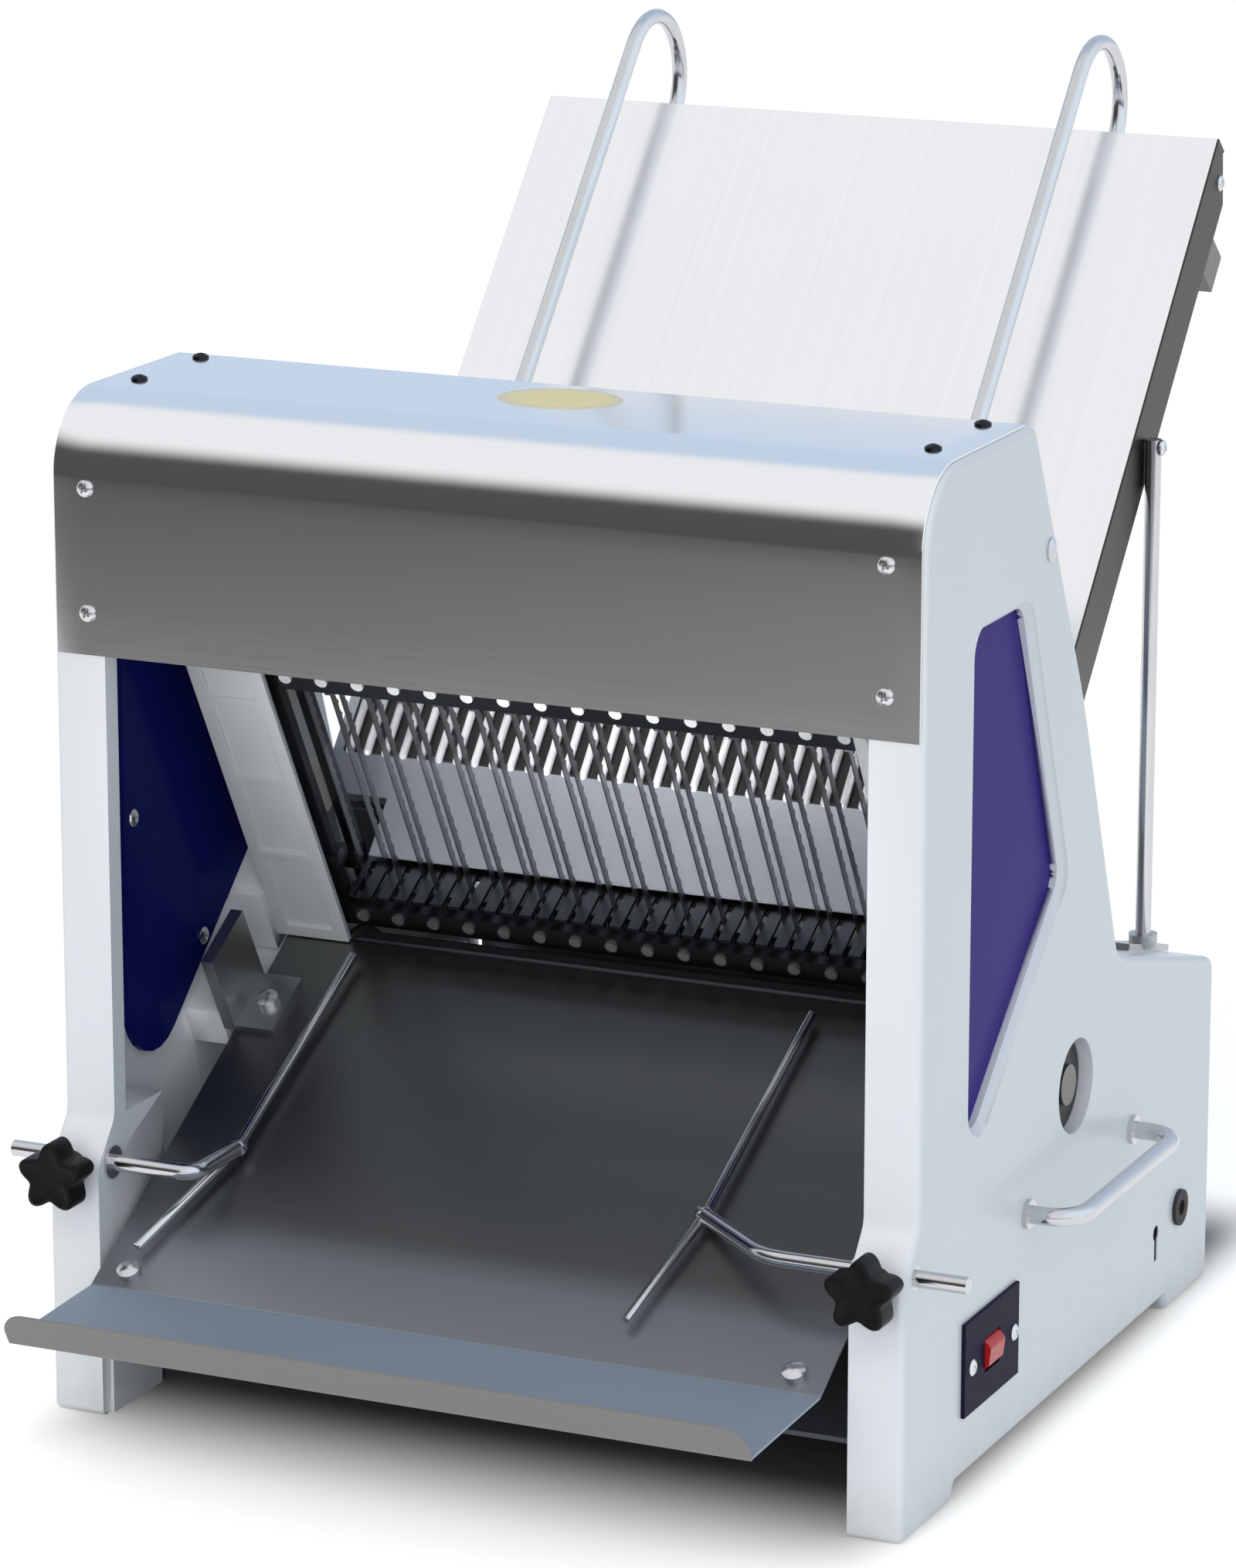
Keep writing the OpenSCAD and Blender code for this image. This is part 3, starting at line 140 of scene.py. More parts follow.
class Finish:
    """The node tree of one material, or of the world."""

    def __init__(self, owner):
        owner.use_nodes = True
        self.owner, self.tree = owner, owner.node_tree
        self.tree.nodes.clear()

    def node(self, kind, settings=(), values=(), out=0):
        """Makes a node of a kind from its settings and its sockets' values, and gives an output."""
        made = self.tree.nodes.new("ShaderNode" + kind)
        for name, setting in dict(settings).items():
            setattr(made, name, setting)
        for name, value in dict(values).items():
            if isinstance(value, Wire):
                self.tree.links.new(value.output, made.inputs[name])
            else:
                made.inputs[name].default_value = value
        return Wire(self, made.outputs[out]) if len(made.outputs) else made

    def coords(self, kind="Object"):
        """Coordinates of a kind: Object ones are in metres, and the world's Generated ones are
        directions."""
        return self.node("TexCoord", {}, {}, kind)

    def place(self, stretch=(1, 1, 1)):
        """Object coordinates in metres, stretched along the axes."""
        return self.node("Mapping", {}, {"Vector": self.coords(), "Scale": stretch})

    def axis(self, letter, kind="Object"):
        """One coordinate of a kind, along X, Y or Z."""
        return self.node("SeparateXYZ", {}, {"Vector": self.coords(kind)}, letter)

    def ray(self, kind):
        """1 for rays of a kind, such as Camera or Glossy, and 0 for all others."""
        return self.node("LightPath", {}, {}, "Is " + kind + " Ray")

    def noise(self, scale, detail=2.0, stretch=(1, 1, 1)):
        """Cloudy noise from 0 to 1, with so many clouds to the metre."""
        values = {"Vector": self.place(stretch), "Scale": scale, "Detail": detail}
        return self.node("TexNoise", {}, values)

    def ramp(self, value, low, high, start=0.0, end=1.0):
        """A smooth step from start to end while the value goes from low to high."""
        settings = {"interpolation_type": "SMOOTHSTEP"}
        return self.node("MapRange", settings, {0: value, 1: low, 2: high, 3: start, 4: end})

    def mix(self, share, first, second):
        """A colour between two, by a share from 0 to 1."""
        ends = [c if isinstance(c, Wire) else (*c, 1.0) for c in (first, second)]
        return self.node("Mix", {"data_type": "RGBA"}, {0: share, 6: ends[0], 7: ends[1]}, 2)

    def bump(self, height, depth, strength=1.0):
        """A normal bent by a height from 0 to 1, where 1 is so many metres deep."""
        return self.node("Bump", {}, {"Height": height, "Distance": depth, "Strength": strength})

    def surface(self, **values):
        """Ends the tree in a Principled shader with these sockets, named with _ for a space."""
        sockets = {name.replace("_", " "): value for name, value in values.items()}
        sockets = {n: (*v, 1.0) if isinstance(v, tuple) else v for n, v in sockets.items()}
        self.node("OutputMaterial", {}, {"Surface": self.node("BsdfPrincipled", {}, sockets)})
        return self.owner


def finish(name):
    """A new material to be filled with nodes."""
    return Finish(bpy.data.materials.new(name))


print("helpers: Wire, Finish")

# %% [markdown]
# The light is that of a bright, hazy day: a pale sky all round, bluish behind the machine, with a
# soft box overhead, a low fill in front that reaches in under the cover, and a small narrow lamp
# for the fingers of the comb. The sky could be an image, but smooth steps along the direction are
# enough, and they colour the bent cover as the real one is coloured. Mirrors show no lamp: they see
# the sky at full white and a dark low front, as the dark room before the real machine gives, and
# the paint is lit at a plainer level.

# %% Sky and soft boxes
sky = Finish(bpy.data.worlds.new("hazy_sky"))
scene.world = sky.owner
heading = {letter: sky.axis(letter, "Generated") for letter in "XYZ"}
mirror = sky.ray("Glossy")
seen = mirror + sky.ray("Camera") + sky.ray("Transmission")
haze, overhead, blue_behind = (1.0, 1.01, 1.02), (0.94, 0.955, 0.975), (0.61, 0.725, 0.885)
bright_right, dark_room = (1.06, 1.19, 1.31), (0.085, 0.080, 0.078)
tint = sky.mix(sky.ramp(heading["Z"], 0.25, 0.85), haze, overhead)
tint = sky.mix(sky.ramp(heading["Y"], 0.12, 0.38), tint, blue_behind)
tint = sky.mix(sky.ramp(heading["X"], 0.1, 0.8), tint, bright_right)
low_front = (sky.ramp(heading["Z"], 0.70, 0.35) * sky.ramp(heading["Y"], 0.0, -0.3)
             * sky.ramp(heading["X"], 0.10, -0.15))
tint = sky.mix(low_front * mirror, tint, dark_room)
paint_level, more_if_seen = 0.60, 0.40
strength = paint_level + seen * more_if_seen
glow = sky.node("Background", {}, {"Color": tint, "Strength": strength})
sky.node("OutputWorld", {}, {"Surface": glow})


def soft_box(name, place, aim, size, power, spread=180.0):
    """An area lamp, so wide and so high, that faces a point and lights a cone of so many degrees.
    Mirrors show the sky in its place."""
    lamp = bpy.data.lights.new(name, "AREA")
    lamp.shape = "RECTANGLE"
    lamp.size, lamp.size_y, lamp.energy, lamp.spread = *size, power, np.radians(spread)
    holder = bpy.data.objects.new(name, lamp)
    holder.location = place
    holder.rotation_euler = (Vector(aim) - Vector(place)).to_track_quat("-Z", "Y").to_euler()
    holder.visible_glossy = False
    scene.collection.objects.link(holder)


soft_box("overhead_box", (-0.2, -1.9, 2.6), (0.0, 0.0, 0.3), (2.0, 2.0), 12.0)
soft_box("front_fill", (0.35, -2.7, 0.75), (0.0, 0.0, 0.35), (2.4, 1.2), 22.0)
soft_box("comb_light", (0.02, -1.35, 0.10), (0.0, -0.1, 0.44), (0.16, 0.10), 0.4, 20.0)
scene.view_settings.view_transform = "Standard"
print("light: hazy sky, two soft boxes and a narrow one for the comb")

# %% [markdown]
# Pieces are surfaces over two parameters, kept as whole arrays: a grid of points, and the numbers
# of the corners of its faces. Rings that shrink to a point make poles, which are welded. A copy of
# a CAD piece can also be welded and given eased edges, so that its rims catch the light.

# %% Mesh helpers
def round_angles(count):
    """So many angles, evenly spaced round a circle."""
    return np.linspace(0.0, 2 * np.pi, count, endpoint=False)


def grid_faces(rows, cols, closed=True):
    """Corners of the four-sided faces of a grid. In a closed one each row joins its own start."""
    row, col = np.meshgrid(np.arange(rows - 1), np.arange(cols - (not closed)), indexing="ij")
    start, below, right = row * cols, (row + 1) * cols, (col + 1) % cols
    corners = [start + col, start + right, below + right, below + col]
    return np.stack(corners, -1).reshape(-1, 4)


def weld(mesh, turn_out):
    """Joins points that lie together, and turns the faces of a closed shape outwards."""
    together = 1e-6
    work = bmesh.new()
    work.from_mesh(mesh)
    bmesh.ops.remove_doubles(work, verts=work.verts, dist=together)
    if turn_out:
        bmesh.ops.recalc_face_normals(work, faces=work.faces)
    work.to_mesh(mesh)
    work.free()


def shade(mesh, angle):
    """Smooth shading that stays crisp at edges sharper than an angle in degrees."""
    mesh.shade_smooth()
    mesh.set_sharp_from_angle(angle=np.radians(angle))


def piece(name, shells, body, material, angle=40.0):
    """One object made of shells, each a grid of points and the corners of its faces."""
    starts = np.cumsum([0] + [points.size // 3 for points, _ in shells])
    points = np.concatenate([points.reshape(-1, 3) for points, _ in shells])
    faces = np.concatenate([corners + start for (_, corners), start in zip(shells, starts)])
    mesh = bpy.data.meshes.new(name)
    mesh.from_pydata(points.tolist(), [], faces.tolist())
    weld(mesh, True)
    shade(mesh, angle)
    mesh.materials.append(material)
    made = bpy.data.objects.new(name, mesh)
    scene.collection.objects.link(made)
    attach(made, body)
    print(name, "-", len(mesh.polygons), "faces on", body)
    return made


def eased(node, material, edge=0.0, angle=32.0):
    """A welded copy of a CAD piece that stands for it, with rims of a given width in metres."""
    made = bpy.data.objects.new(node + "_eased", cad[node].data.copy())
    made.data.materials.clear()
    made.data.materials.append(material)
    weld(made.data, False)
    shade(made.data, angle)
    scene.collection.objects.link(made)
    if edge:
        rim = made.modifiers.new("rims", "BEVEL")
        rim.width, rim.segments = edge, 2
        rim.limit_method, rim.angle_limit = "ANGLE", np.radians(angle)
        rim.use_clamp_overlap = True
    flat = made.modifiers.new("flat_faces", "WEIGHTED_NORMAL")
    flat.keep_sharp, flat.weight = True, 90
    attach(made, body_of[node])
    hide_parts(node)
    print(made.name, "-", len(made.data.polygons), "faces on", body_of[node])


print("helpers: round_angles, grid_faces, weld, shade, piece, eased")

# %% [markdown]
# The floor is a wide sheet that the camera sees pale all over. To every other ray it gives way, far
# in front of the machine, to bare grey ground, which is what the upright apron of the cover
# mirrors. A dark card on a stand could do the same, but a change of colour in the floor itself
# leaves nothing in the way of other views. Away from the machine the sheet is lifted to plain white
# for the camera and for mirrors. Under the machine its colour is a painted shadow, dark grey, which
# deepens the shadow that the machine casts there, and it is left as it is lit.

# %% Floor
ground = finish("pale_floor")
direct = ground.ray("Camera")
depth = ground.axis("Y")
pale = 1.0 - ground.ramp(depth, -1.25, -1.9) * (1.0 - direct)
dust = ground.noise(6.0, 3.0)
near = ground.mix(dust, (0.90, 0.90, 0.90), (0.87, 0.87, 0.87))
far_ground, bare_ground = (0.080, 0.076, 0.074), (0.165, 0.156, 0.149)
bare = ground.mix(ground.ramp(depth, -2.72, -2.52), far_ground, bare_ground)
colour = ground.mix(pale, bare, near)
beside = ground.ramp((ground.axis("X") ** 2.0) ** 0.5, 0.24, 0.295)
before = ground.ramp(depth, -0.19, -0.36)
behind = ground.ramp(depth, 0.30, 0.42)
outside_painted_shadow = 1.0 - (1.0 - beside) * (1.0 - before) * (1.0 - behind)
# Painted shadow: the floor's colour is dark grey under and around the machine, where the mask is
# low.
painted_shadow_grey = (0.12, 0.12, 0.12)
colour = ground.mix(outside_painted_shadow, painted_shadow_grey, colour)
lift = outside_painted_shadow * pale * (direct + ground.ray("Glossy") + ground.ray("Transmission"))
glow = ground.mix(lift, (0.0, 0.0, 0.0), (0.52, 0.50, 0.47))
floor_paint = ground.surface(Base_Color=colour, Roughness=0.75 + dust * 0.1,
                             Specular_IOR_Level=0.2, Emission_Color=glow, Emission_Strength=1.0)
floor_reach, floor_lines = 20.0, 9
span = np.linspace(-floor_reach, floor_reach, floor_lines)
across, deep = np.meshgrid(span, span)
floor_points = np.stack([across, deep, np.zeros_like(across)], -1).reshape(-1, 3)
floor_faces = grid_faces(floor_lines, floor_lines, False)
floor_mesh = bpy.data.meshes.new("floor")
floor_mesh.from_pydata(floor_points.tolist(), [], floor_faces.tolist())
floor_mesh.materials.append(floor_paint)
floor = bpy.data.objects.new("floor", floor_mesh)
scene.collection.objects.link(floor)
floor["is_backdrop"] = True
print("floor:", len(floor_mesh.polygons), "faces")

# %% [markdown]
# White enamel covers the castings. Real enamel is not one flat white: it has the faint orange peel
# of a sprayed coat, a little cloudiness, and a trace of grey near the floor. Noise at three scales
# gives these, the finest as a bump, because a painted image would need an unwrapped mesh.

# %% White enamel
key_y, key_z, panel_face = 0.1458, 0.053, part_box("right_side_panel")[1][0]
floor_grey, key_hole_shade = (0.42, 0.42, 0.41), (0.03, 0.03, 0.03)


def enamelled(name, light, dull):
    """Sprayed enamel between a light and a dull tone, greyed a little near the floor, and with a
    painted shade in the key hole of the right panel, dark near its axis and deeper than the face."""
    coat = finish(name)
    across, along, up = (coat.axis(letter) for letter in "XYZ")
    peel = coat.noise(900.0, 1.0)
    cloud = coat.noise(5.0, 3.0)
    low = coat.ramp(up, 0.0, 0.05, 1.0, 0.0) * coat.noise(60.0, 4.0)
    tone = coat.mix(low * 0.5, coat.mix(cloud, light, dull), floor_grey)
    # Painted shade: the walls of the key hole are coloured near black, for the dark inside of the
    # machine.
    off_axis = ((along - key_y) ** 2.0 + (up - key_z) ** 2.0) ** 0.5
    inside = (coat.ramp(off_axis, 0.015, 0.014) * coat.ramp(across, 0.2, 0.21)
              * coat.ramp(across, panel_face - 0.0004, panel_face - 0.0012))
    tone = coat.mix(inside, tone, key_hole_shade)
    return coat.surface(Base_Color=tone, Roughness=0.30 + cloud * 0.12,
                        Normal=coat.bump(peel, 0.00012, 0.35),
                        Coat_Weight=0.25, Coat_Roughness=0.12)


enamel = enamelled("white_enamel", (0.82, 0.845, 0.86), (0.79, 0.82, 0.84))
# The guide rails are the same white enamel as the panels; their grey is a painted shade, as they
# stand in the shadow under the cover.
rail_enamel = enamelled("rail_enamel", (0.56, 0.585, 0.58), (0.50, 0.525, 0.52))
print("finishes:", enamel.name, "and", rail_enamel.name)

# %% [markdown]
# Stainless sheet is brushed along its length, so its sheen is streaked: fine noise stretched along
# X changes the roughness and the colour a little and bends the normal. Anisotropic shading is the
# other way, but it needs tangents on every piece, and streaks alone look right at this distance.

# %% Brushed stainless
def brushed(name, light, dark, rough, stretch=(3.0, 700.0, 700.0), depth=0.00003, marks=0.10):
    """Metal between a light and a dark colour, streaked along the axis that is stretched least."""
    sheet = finish(name)
    streak = sheet.noise(1.0, 3.0, stretch)
    stain = sheet.noise(7.0, 3.0)
    colour = sheet.mix(streak * 0.7 + stain * 0.3, light, dark)
    return sheet.surface(Base_Color=colour, Metallic=1.0,
                         Roughness=rough + streak * marks + stain * marks * 0.6,
                         Normal=sheet.bump(streak, depth, 0.5))


cover_steel = brushed("cover_stainless", (0.88, 0.88, 0.885), (0.85, 0.85, 0.855), 0.08,
                      (2.0, 900.0, 900.0), 0.000006, 0.06)
plain_steel = brushed("plain_stainless", (0.55, 0.55, 0.55), (0.45, 0.45, 0.45), 0.28)
print("finishes: cover and plain stainless")

# %% [markdown]
# Tray and chute are one sheet each, yet no part of them looks alike, and most of the difference is
# painted light. The tray's level front is pale and bluish, a painted reflection of the sky; its lip
# is browned, a painted reflection of the floor; its slope is dark, partly its own grey and partly a
# painted reflection of the shaded cover above it. The chute is bright, but duller and bluish low
# down inside the machine, which is painted shade, and dark brown on its right fold, a painted dark
# reflection. Separate sheets of metal would be wrong, so one finish changes colour by the place on
# the piece.

# %% Tray and chute sheets
def painted_light_zones(name, rough, stretch, base, regions):
    """Brushed metal that changes in regions, whose colours are painted light and shade. Each is an
    axis, the places where it starts and is full, its colour, and how much rougher and how much less
    metallic it is there."""
    sheet = finish(name)
    streak = sheet.noise(1.0, 3.0, stretch)
    stain = sheet.noise(7.0, 3.0)
    colour = sheet.mix(streak * 0.6 + stain * 0.4, base, tuple(0.9 * c for c in base))
    roughness, metal = rough + streak * 0.07 + stain * 0.07, 1.0
    for letter, start, full, tone, dull, matt in regions:
        share = sheet.ramp(sheet.axis(letter), start, full)
        colour = sheet.mix(share, colour, tone)
        roughness = roughness + share * dull
        metal = metal - share * matt
    return sheet.surface(Base_Color=colour, Metallic=metal, Roughness=roughness,
                         Normal=sheet.bump(streak, 0.000012, 0.5))


# Painted reflections on the tray: a lighter low slope, the pale bluish level front and the browned
# lip.
tray_steel = painted_light_zones("tray_stainless", 0.28, (3.0, 700.0, 700.0), (0.225, 0.225, 0.225), [
    ("Y", -0.235, -0.262, (0.27, 0.285, 0.31), 0.06, 0.15),
    ("Y", -0.2965, -0.2995, (0.345, 0.41, 0.50), 0.14, 0.45),
    ("Y", -0.392, -0.396, (0.24, 0.228, 0.22), 0.0, 0.0)])
# Painted shade on the chute low down inside the machine, and a painted dark reflection on its right
# fold.
chute_steel = painted_light_zones("chute_stainless", 0.11, (250.0, 3.0, 3.0), (0.93, 0.93, 0.935), [
    ("Z", 0.47, 0.40, (0.54, 0.57, 0.63), 0.0, 0.75),
    ("X", 0.2296, 0.2299, (0.060, 0.054, 0.048), 0.20, 0.0)])
print("finishes: tray and chute stainless")

# %% [markdown]
# Rods, handles and screws are polished or plated steel. A mirror would look like a toy, so the
# polish carries faint smears and fine scratches, again from noise in the roughness and the normal.
# The screws on top of the cover have dark heads, and the lower studs are painted dark, a painted
# dark reflection; a step in height tells both apart.

# %% Polished and machined steel
def polished(name, colour, rough, marks=0.06, metal=1.0, dark=None, heights=None):
    """Bright metal with smears that dull it here and there. It may be dark between two heights,
    given as the start and the end of the step at either."""
    bright = finish(name)
    smear = bright.noise(25.0, 4.0)
    scratch = bright.noise(350.0, 2.0)
    tone = bright.mix(smear, colour, tuple(0.86 * c for c in colour))
    if dark:
        level = bright.axis("Z")
        low_start, low_end, high_start, high_end = heights
        between = bright.ramp(level, low_start, low_end) * bright.ramp(level, high_end, high_start)
        tone = bright.mix(between, tone, dark)
    return bright.surface(Base_Color=tone, Metallic=metal,
                          Roughness=rough + smear * marks + scratch * 0.03,
                          Normal=bright.bump(scratch, 0.00003, 0.3))


chrome = polished("bright_steel", (0.66, 0.66, 0.675), 0.11)
# The pins' near-white base, barely metallic, is a painted sheen that stands in for the highlights
# along them.
pin_steel = polished("pin_steel", (0.98, 0.98, 0.99), 0.38, metal=0.15)
# The studs' dark band low down is a painted dark reflection, not their own colour.
stud_steel = polished("stud_steel", (0.90, 0.90, 0.91), 0.42, metal=0.55,
                      dark=(0.17, 0.17, 0.175), heights=(0.15, 0.16, 0.33, 0.34))
screw_steel = polished("screw_steel", (0.72, 0.72, 0.73), 0.20,
                       dark=(0.03, 0.03, 0.035), heights=(0.6125, 0.6130, 0.6195, 0.6200))
oiled_steel = polished("oiled_steel", (0.20, 0.195, 0.185), 0.30, 0.12)
blade_steel = brushed("blade_steel", (0.42, 0.42, 0.43), (0.26, 0.26, 0.27), 0.22,
                      (700.0, 40.0, 40.0))
turned_steel = polished("machined_steel", (0.46, 0.465, 0.48), 0.28, 0.12)
blued_steel = polished("blued_steel", (0.11, 0.115, 0.125), 0.30, 0.12)
print("finishes: bright, pin, stud, screw, oiled, blade, machined and blued steel")

# %% [markdown]
# The side windows are dark blue acrylic. Light that enters a tinted sheet hardly leaves it again,
# so a dark base with a faint gloss is enough, and no slow transmission is needed. The base varies a
# little, as a cast sheet does. The left sheet is seen through the dark inside of the machine, and
# its deeper base is a painted shade.

# %% Blue acrylic
def acrylic(name, deep, pale):
    """Tinted sheet between a deep and a pale tone, with faint swirls in colour and gloss."""
    pane = finish(name)
    swirl = pane.noise(6.0, 2.0)
    return pane.surface(Base_Color=pane.mix(swirl, deep, pale), Roughness=0.14 + swirl * 0.06,
                        Specular_IOR_Level=0.02)


blue_pane = acrylic("blue_acrylic", (0.050, 0.031, 0.225), (0.060, 0.038, 0.262))
# Painted shade: the same acrylic with a deeper base, for the left window.
shaded_pane = acrylic("shaded_acrylic", (0.005, 0.008, 0.100), (0.007, 0.011, 0.130))
print("finishes:", blue_pane.name, "and", shaded_pane.name)

# %% [markdown]
# Plastics and castings make up the rest: black star knobs, ivory slides, the red rocker, the dark
# iron of the bearings and the grey paint of the motor. One function covers them, with the grain of
# a moulded or cast skin as a bump whose scale and depth differ from piece to piece.

# %% Plastics, iron and rubber
def moulded(name, colour, other, rough, grain, depth, **more):
    """A moulded or cast skin between two colours, with a grain of so many bumps to the metre."""
    skin = finish(name)
    fine = skin.noise(grain, 2.0)
    broad = skin.noise(9.0, 3.0)
    return skin.surface(Base_Color=skin.mix(broad, colour, other), Roughness=rough + fine * 0.12,
                        Normal=skin.bump(fine, depth, 0.5), **more)


black_plastic = moulded("black_plastic", (0.005, 0.005, 0.0055), (0.009, 0.009, 0.0095), 0.38,
                        900.0, 0.0001, Specular_IOR_Level=0.12)
navy_plate = moulded("navy_plate", (0.012, 0.010, 0.030), (0.018, 0.015, 0.042), 0.34,
                     700.0, 0.00006, Specular_IOR_Level=0.03)
red_plastic = moulded("red_plastic", (0.62, 0.012, 0.012), (0.52, 0.01, 0.01), 0.22,
                      200.0, 0.00001)
ivory = moulded("ivory_plastic", (0.72, 0.69, 0.60), (0.64, 0.61, 0.53), 0.40, 500.0, 0.00006)
cast_iron = moulded("dark_iron", (0.05, 0.05, 0.052), (0.08, 0.078, 0.075), 0.45,
                    400.0, 0.0003, Metallic=0.6)
motor_paint = moulded("motor_paint", (0.17, 0.18, 0.20), (0.13, 0.14, 0.155), 0.42,
                      600.0, 0.00012)
rubber = moulded("black_rubber", (0.018, 0.018, 0.018), (0.03, 0.03, 0.03), 0.62, 800.0, 0.0001)
print("finishes: plastics, iron, paint, rubber")

# %% [markdown]
# Every CAD piece that keeps its own mesh takes its finish here, by the record's slot, with a few
# pieces that differ from the rest of their slot named one by one.

# %% Finishes of the CAD pieces
by_slot = {
    "white_paint": enamel, "brushed_sheet": plain_steel, "bright_steel": chrome,
    "blue_acrylic": blue_pane, "blade_steel": blade_steel, "machined_steel": turned_steel,
    "dark_iron": cast_iron, "motor_paint": motor_paint, "slide_plastic": ivory,
    "black_plastic": black_plastic, "black_rubber": rubber, "red_plastic": red_plastic,
}
by_node = {
    "left_window": shaded_pane, "tray_bolts": screw_steel, "upper_comb": pin_steel,
    "front_blade_frame": blued_steel, "rear_blade_frame": blued_steel, "lower_comb": blued_steel,
    "front_blade_studs": stud_steel, "rear_blade_studs": stud_steel, "guide_bar": oiled_steel,
    "main_shaft": oiled_steel, "eccentrics": oiled_steel,
    "front_connecting_rods": oiled_steel, "rear_connecting_rods": oiled_steel,
}
for node, thing in cad.items():
    thing.data.materials.clear()
    thing.data.materials.append(by_node.get(node, by_slot[slot_of[node]]))
print("finished", len(cad), "CAD pieces")

# %% [markdown]
# The castings and the folded sheets keep their CAD form, but their rims are eased, because a real
# rim is never a razor edge and the thin highlight along it tells the eye how big the piece is.
# The panels and the tray are only welded and shaded anew.

# %% Castings and folded sheets
for side in ("left", "right"):
    eased(side + "_side_panel", enamel, angle=25.0)
    eased(side + "_guide_rail", rail_enamel, 0.0008)
eased("delivery_tray", tray_steel, angle=16.0)
eased("feed_chute", chute_steel, 0.0003)
eased("switch_plate", navy_plate, 0.0006)

# %% [markdown]
# The cover is one sheet, bent in a large round from the upright apron into the flat top. Its shape
# is a profile carried along X: apron, a quarter circle, top, and back again one thickness inside.
# The last few stations at each end pinch the profile, which rounds the cut edge.

# %% Cover sheet
low_corner, high_corner = (np.array(corner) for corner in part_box("top_cover"))
sheet_t, bend_r = 0.0015, 0.0475


def cover_profile(thick):
    """Apron, quarter circle of the bend and flat top in (y, z), moved in by a thickness."""
    turn = np.linspace(0.0, np.pi / 2, 40)
    centre = np.array([low_corner[1] + bend_r, high_corner[2] - bend_r])
    arc = centre + (bend_r - thick) * np.stack([-np.cos(turn), np.sin(turn)], -1)
    foot = [low_corner[1] + thick, low_corner[2]]
    back = [high_corner[1], high_corner[2] - thick]
    apron, top = np.linspace(foot, arc[0], 12), np.linspace(arc[-1], back, 12)
    return np.concatenate([apron[:-1], arc, top[1:]])


def bent_sheet(outer, inner, half, thick, count=30):
    """A sheet between two lines in (y, z), carried along X from -half to half. Near its ends the
    profile is pinched towards its middle line by a cosine, which rounds the cut edges."""
    ease = np.linspace(0.0, np.pi / 2, 4)
    end = half - thick / 3 + thick / 3 * np.sin(ease)
    stations = np.concatenate([-end[::-1], np.linspace(-end[0], end[0], count)[1:-1], end])
    flat = np.ones(count - 2)
    pinch = 0.34 + 0.66 * np.concatenate([np.cos(ease)[::-1], flat, np.cos(ease)])
    middle = (outer + inner) / 2
    loop = np.concatenate([outer, inner[::-1]])
    spine = np.concatenate([middle, middle[::-1]])
    ring = spine[None] + (loop - spine)[None] * pinch[:, None, None]
    along = np.broadcast_to(stations[:, None, None], (*ring.shape[:2], 1))
    size = len(outer)
    numbers = np.arange(size - 1)
    cap = np.stack([numbers, numbers + 1, 2 * size - 2 - numbers, 2 * size - 1 - numbers], -1)
    far = (len(stations) - 1) * 2 * size
    faces = np.concatenate([grid_faces(len(stations), 2 * size), cap, cap + far])
    return np.concatenate([along, ring], -1), faces


cover_shell = bent_sheet(cover_profile(0.0), cover_profile(sheet_t), high_corner[0], sheet_t)
cover = piece("cover_sheet", [cover_shell], "machine", cover_steel)
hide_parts("top_cover")

# %% [markdown]
# A dark strip stands at the rear edge of the tray, in front of the blades. Its dark finish is a
# painted shade, for the shaded gap before the blades, darker than the tray's own sheet. It is a
# quarter bend and a short upright in the slanted measures of the blades, p along the slope and q
# square to it, and the same helper carries it from rail to rail.

# %% Upstand with painted shade
mid_y, cut_y, cut_z, lean = 253.194, 235.0, 253.0, np.radians(30.0)
strip_p, strip_bend, strip_low, strip_top = -25.2, 2.5, 3.4, 8.2
strip_half, strip_t = 0.187, 0.001


def slanted(p, q):
    """(y, z) in metres of the frame, of places p along the slope and q square to it, in mm."""
    y = cut_y + p * np.cos(lean) - q * np.sin(lean) - mid_y
    z = cut_z + p * np.sin(lean) + q * np.cos(lean)
    return np.stack([y, z], -1) / 1000.0


def upstand(shift):
    """A quarter circle and an upright, moved square to themselves by a shift in mm."""
    turn = np.linspace(0.0, np.pi / 2, 10)
    bend = strip_bend - shift
    p = np.concatenate([strip_p + bend * np.sin(turn), np.full(4, strip_p + bend)])
    q = np.concatenate([strip_bend - bend * np.cos(turn), np.linspace(strip_low, strip_top, 4)])
    return slanted(p, q)


strip_shell = bent_sheet(upstand(-0.5), upstand(0.5), strip_half, strip_t)
piece("crumb_strip", [strip_shell], "machine", blued_steel)

# %% [markdown]
# A plain oval of yellow film sits near the rear edge of the cover. It is a polar grid: rings from
# the middle out, flat, then rolled down over its thin edge. Its paler rim is part of the finish:
# the same ellipse that draws the outline tells how far out a place lies.

# %% Yellow oval
oval_y, oval_wide, oval_deep = -0.1402, 0.0375, 0.030
film = finish("yellow_film")
fade = film.noise(60.0, 3.0)
out = ((film.axis("X") / oval_wide) ** 2.0 + ((film.axis("Y") - oval_y) / oval_deep) ** 2.0) ** 0.5
tone = film.mix(fade, (0.97, 0.81, 0.33), (0.94, 0.77, 0.36))
tone = film.mix(film.ramp(out, 0.80, 0.90), tone, (0.80, 0.73, 0.50))
yellow = film.surface(Base_Color=tone, Roughness=0.26 + fade * 0.1, Specular_IOR_Level=0.3)
around = round_angles(72)
share = np.array([0.0, 0.4, 0.8, 0.97, 0.99, 1.0, 1.0, 0.0])[:, None]
rise = np.array([0.0004, 0.0004, 0.0004, 0.0004, 0.00035, 0.0002, -0.0001, -0.0001])[:, None]
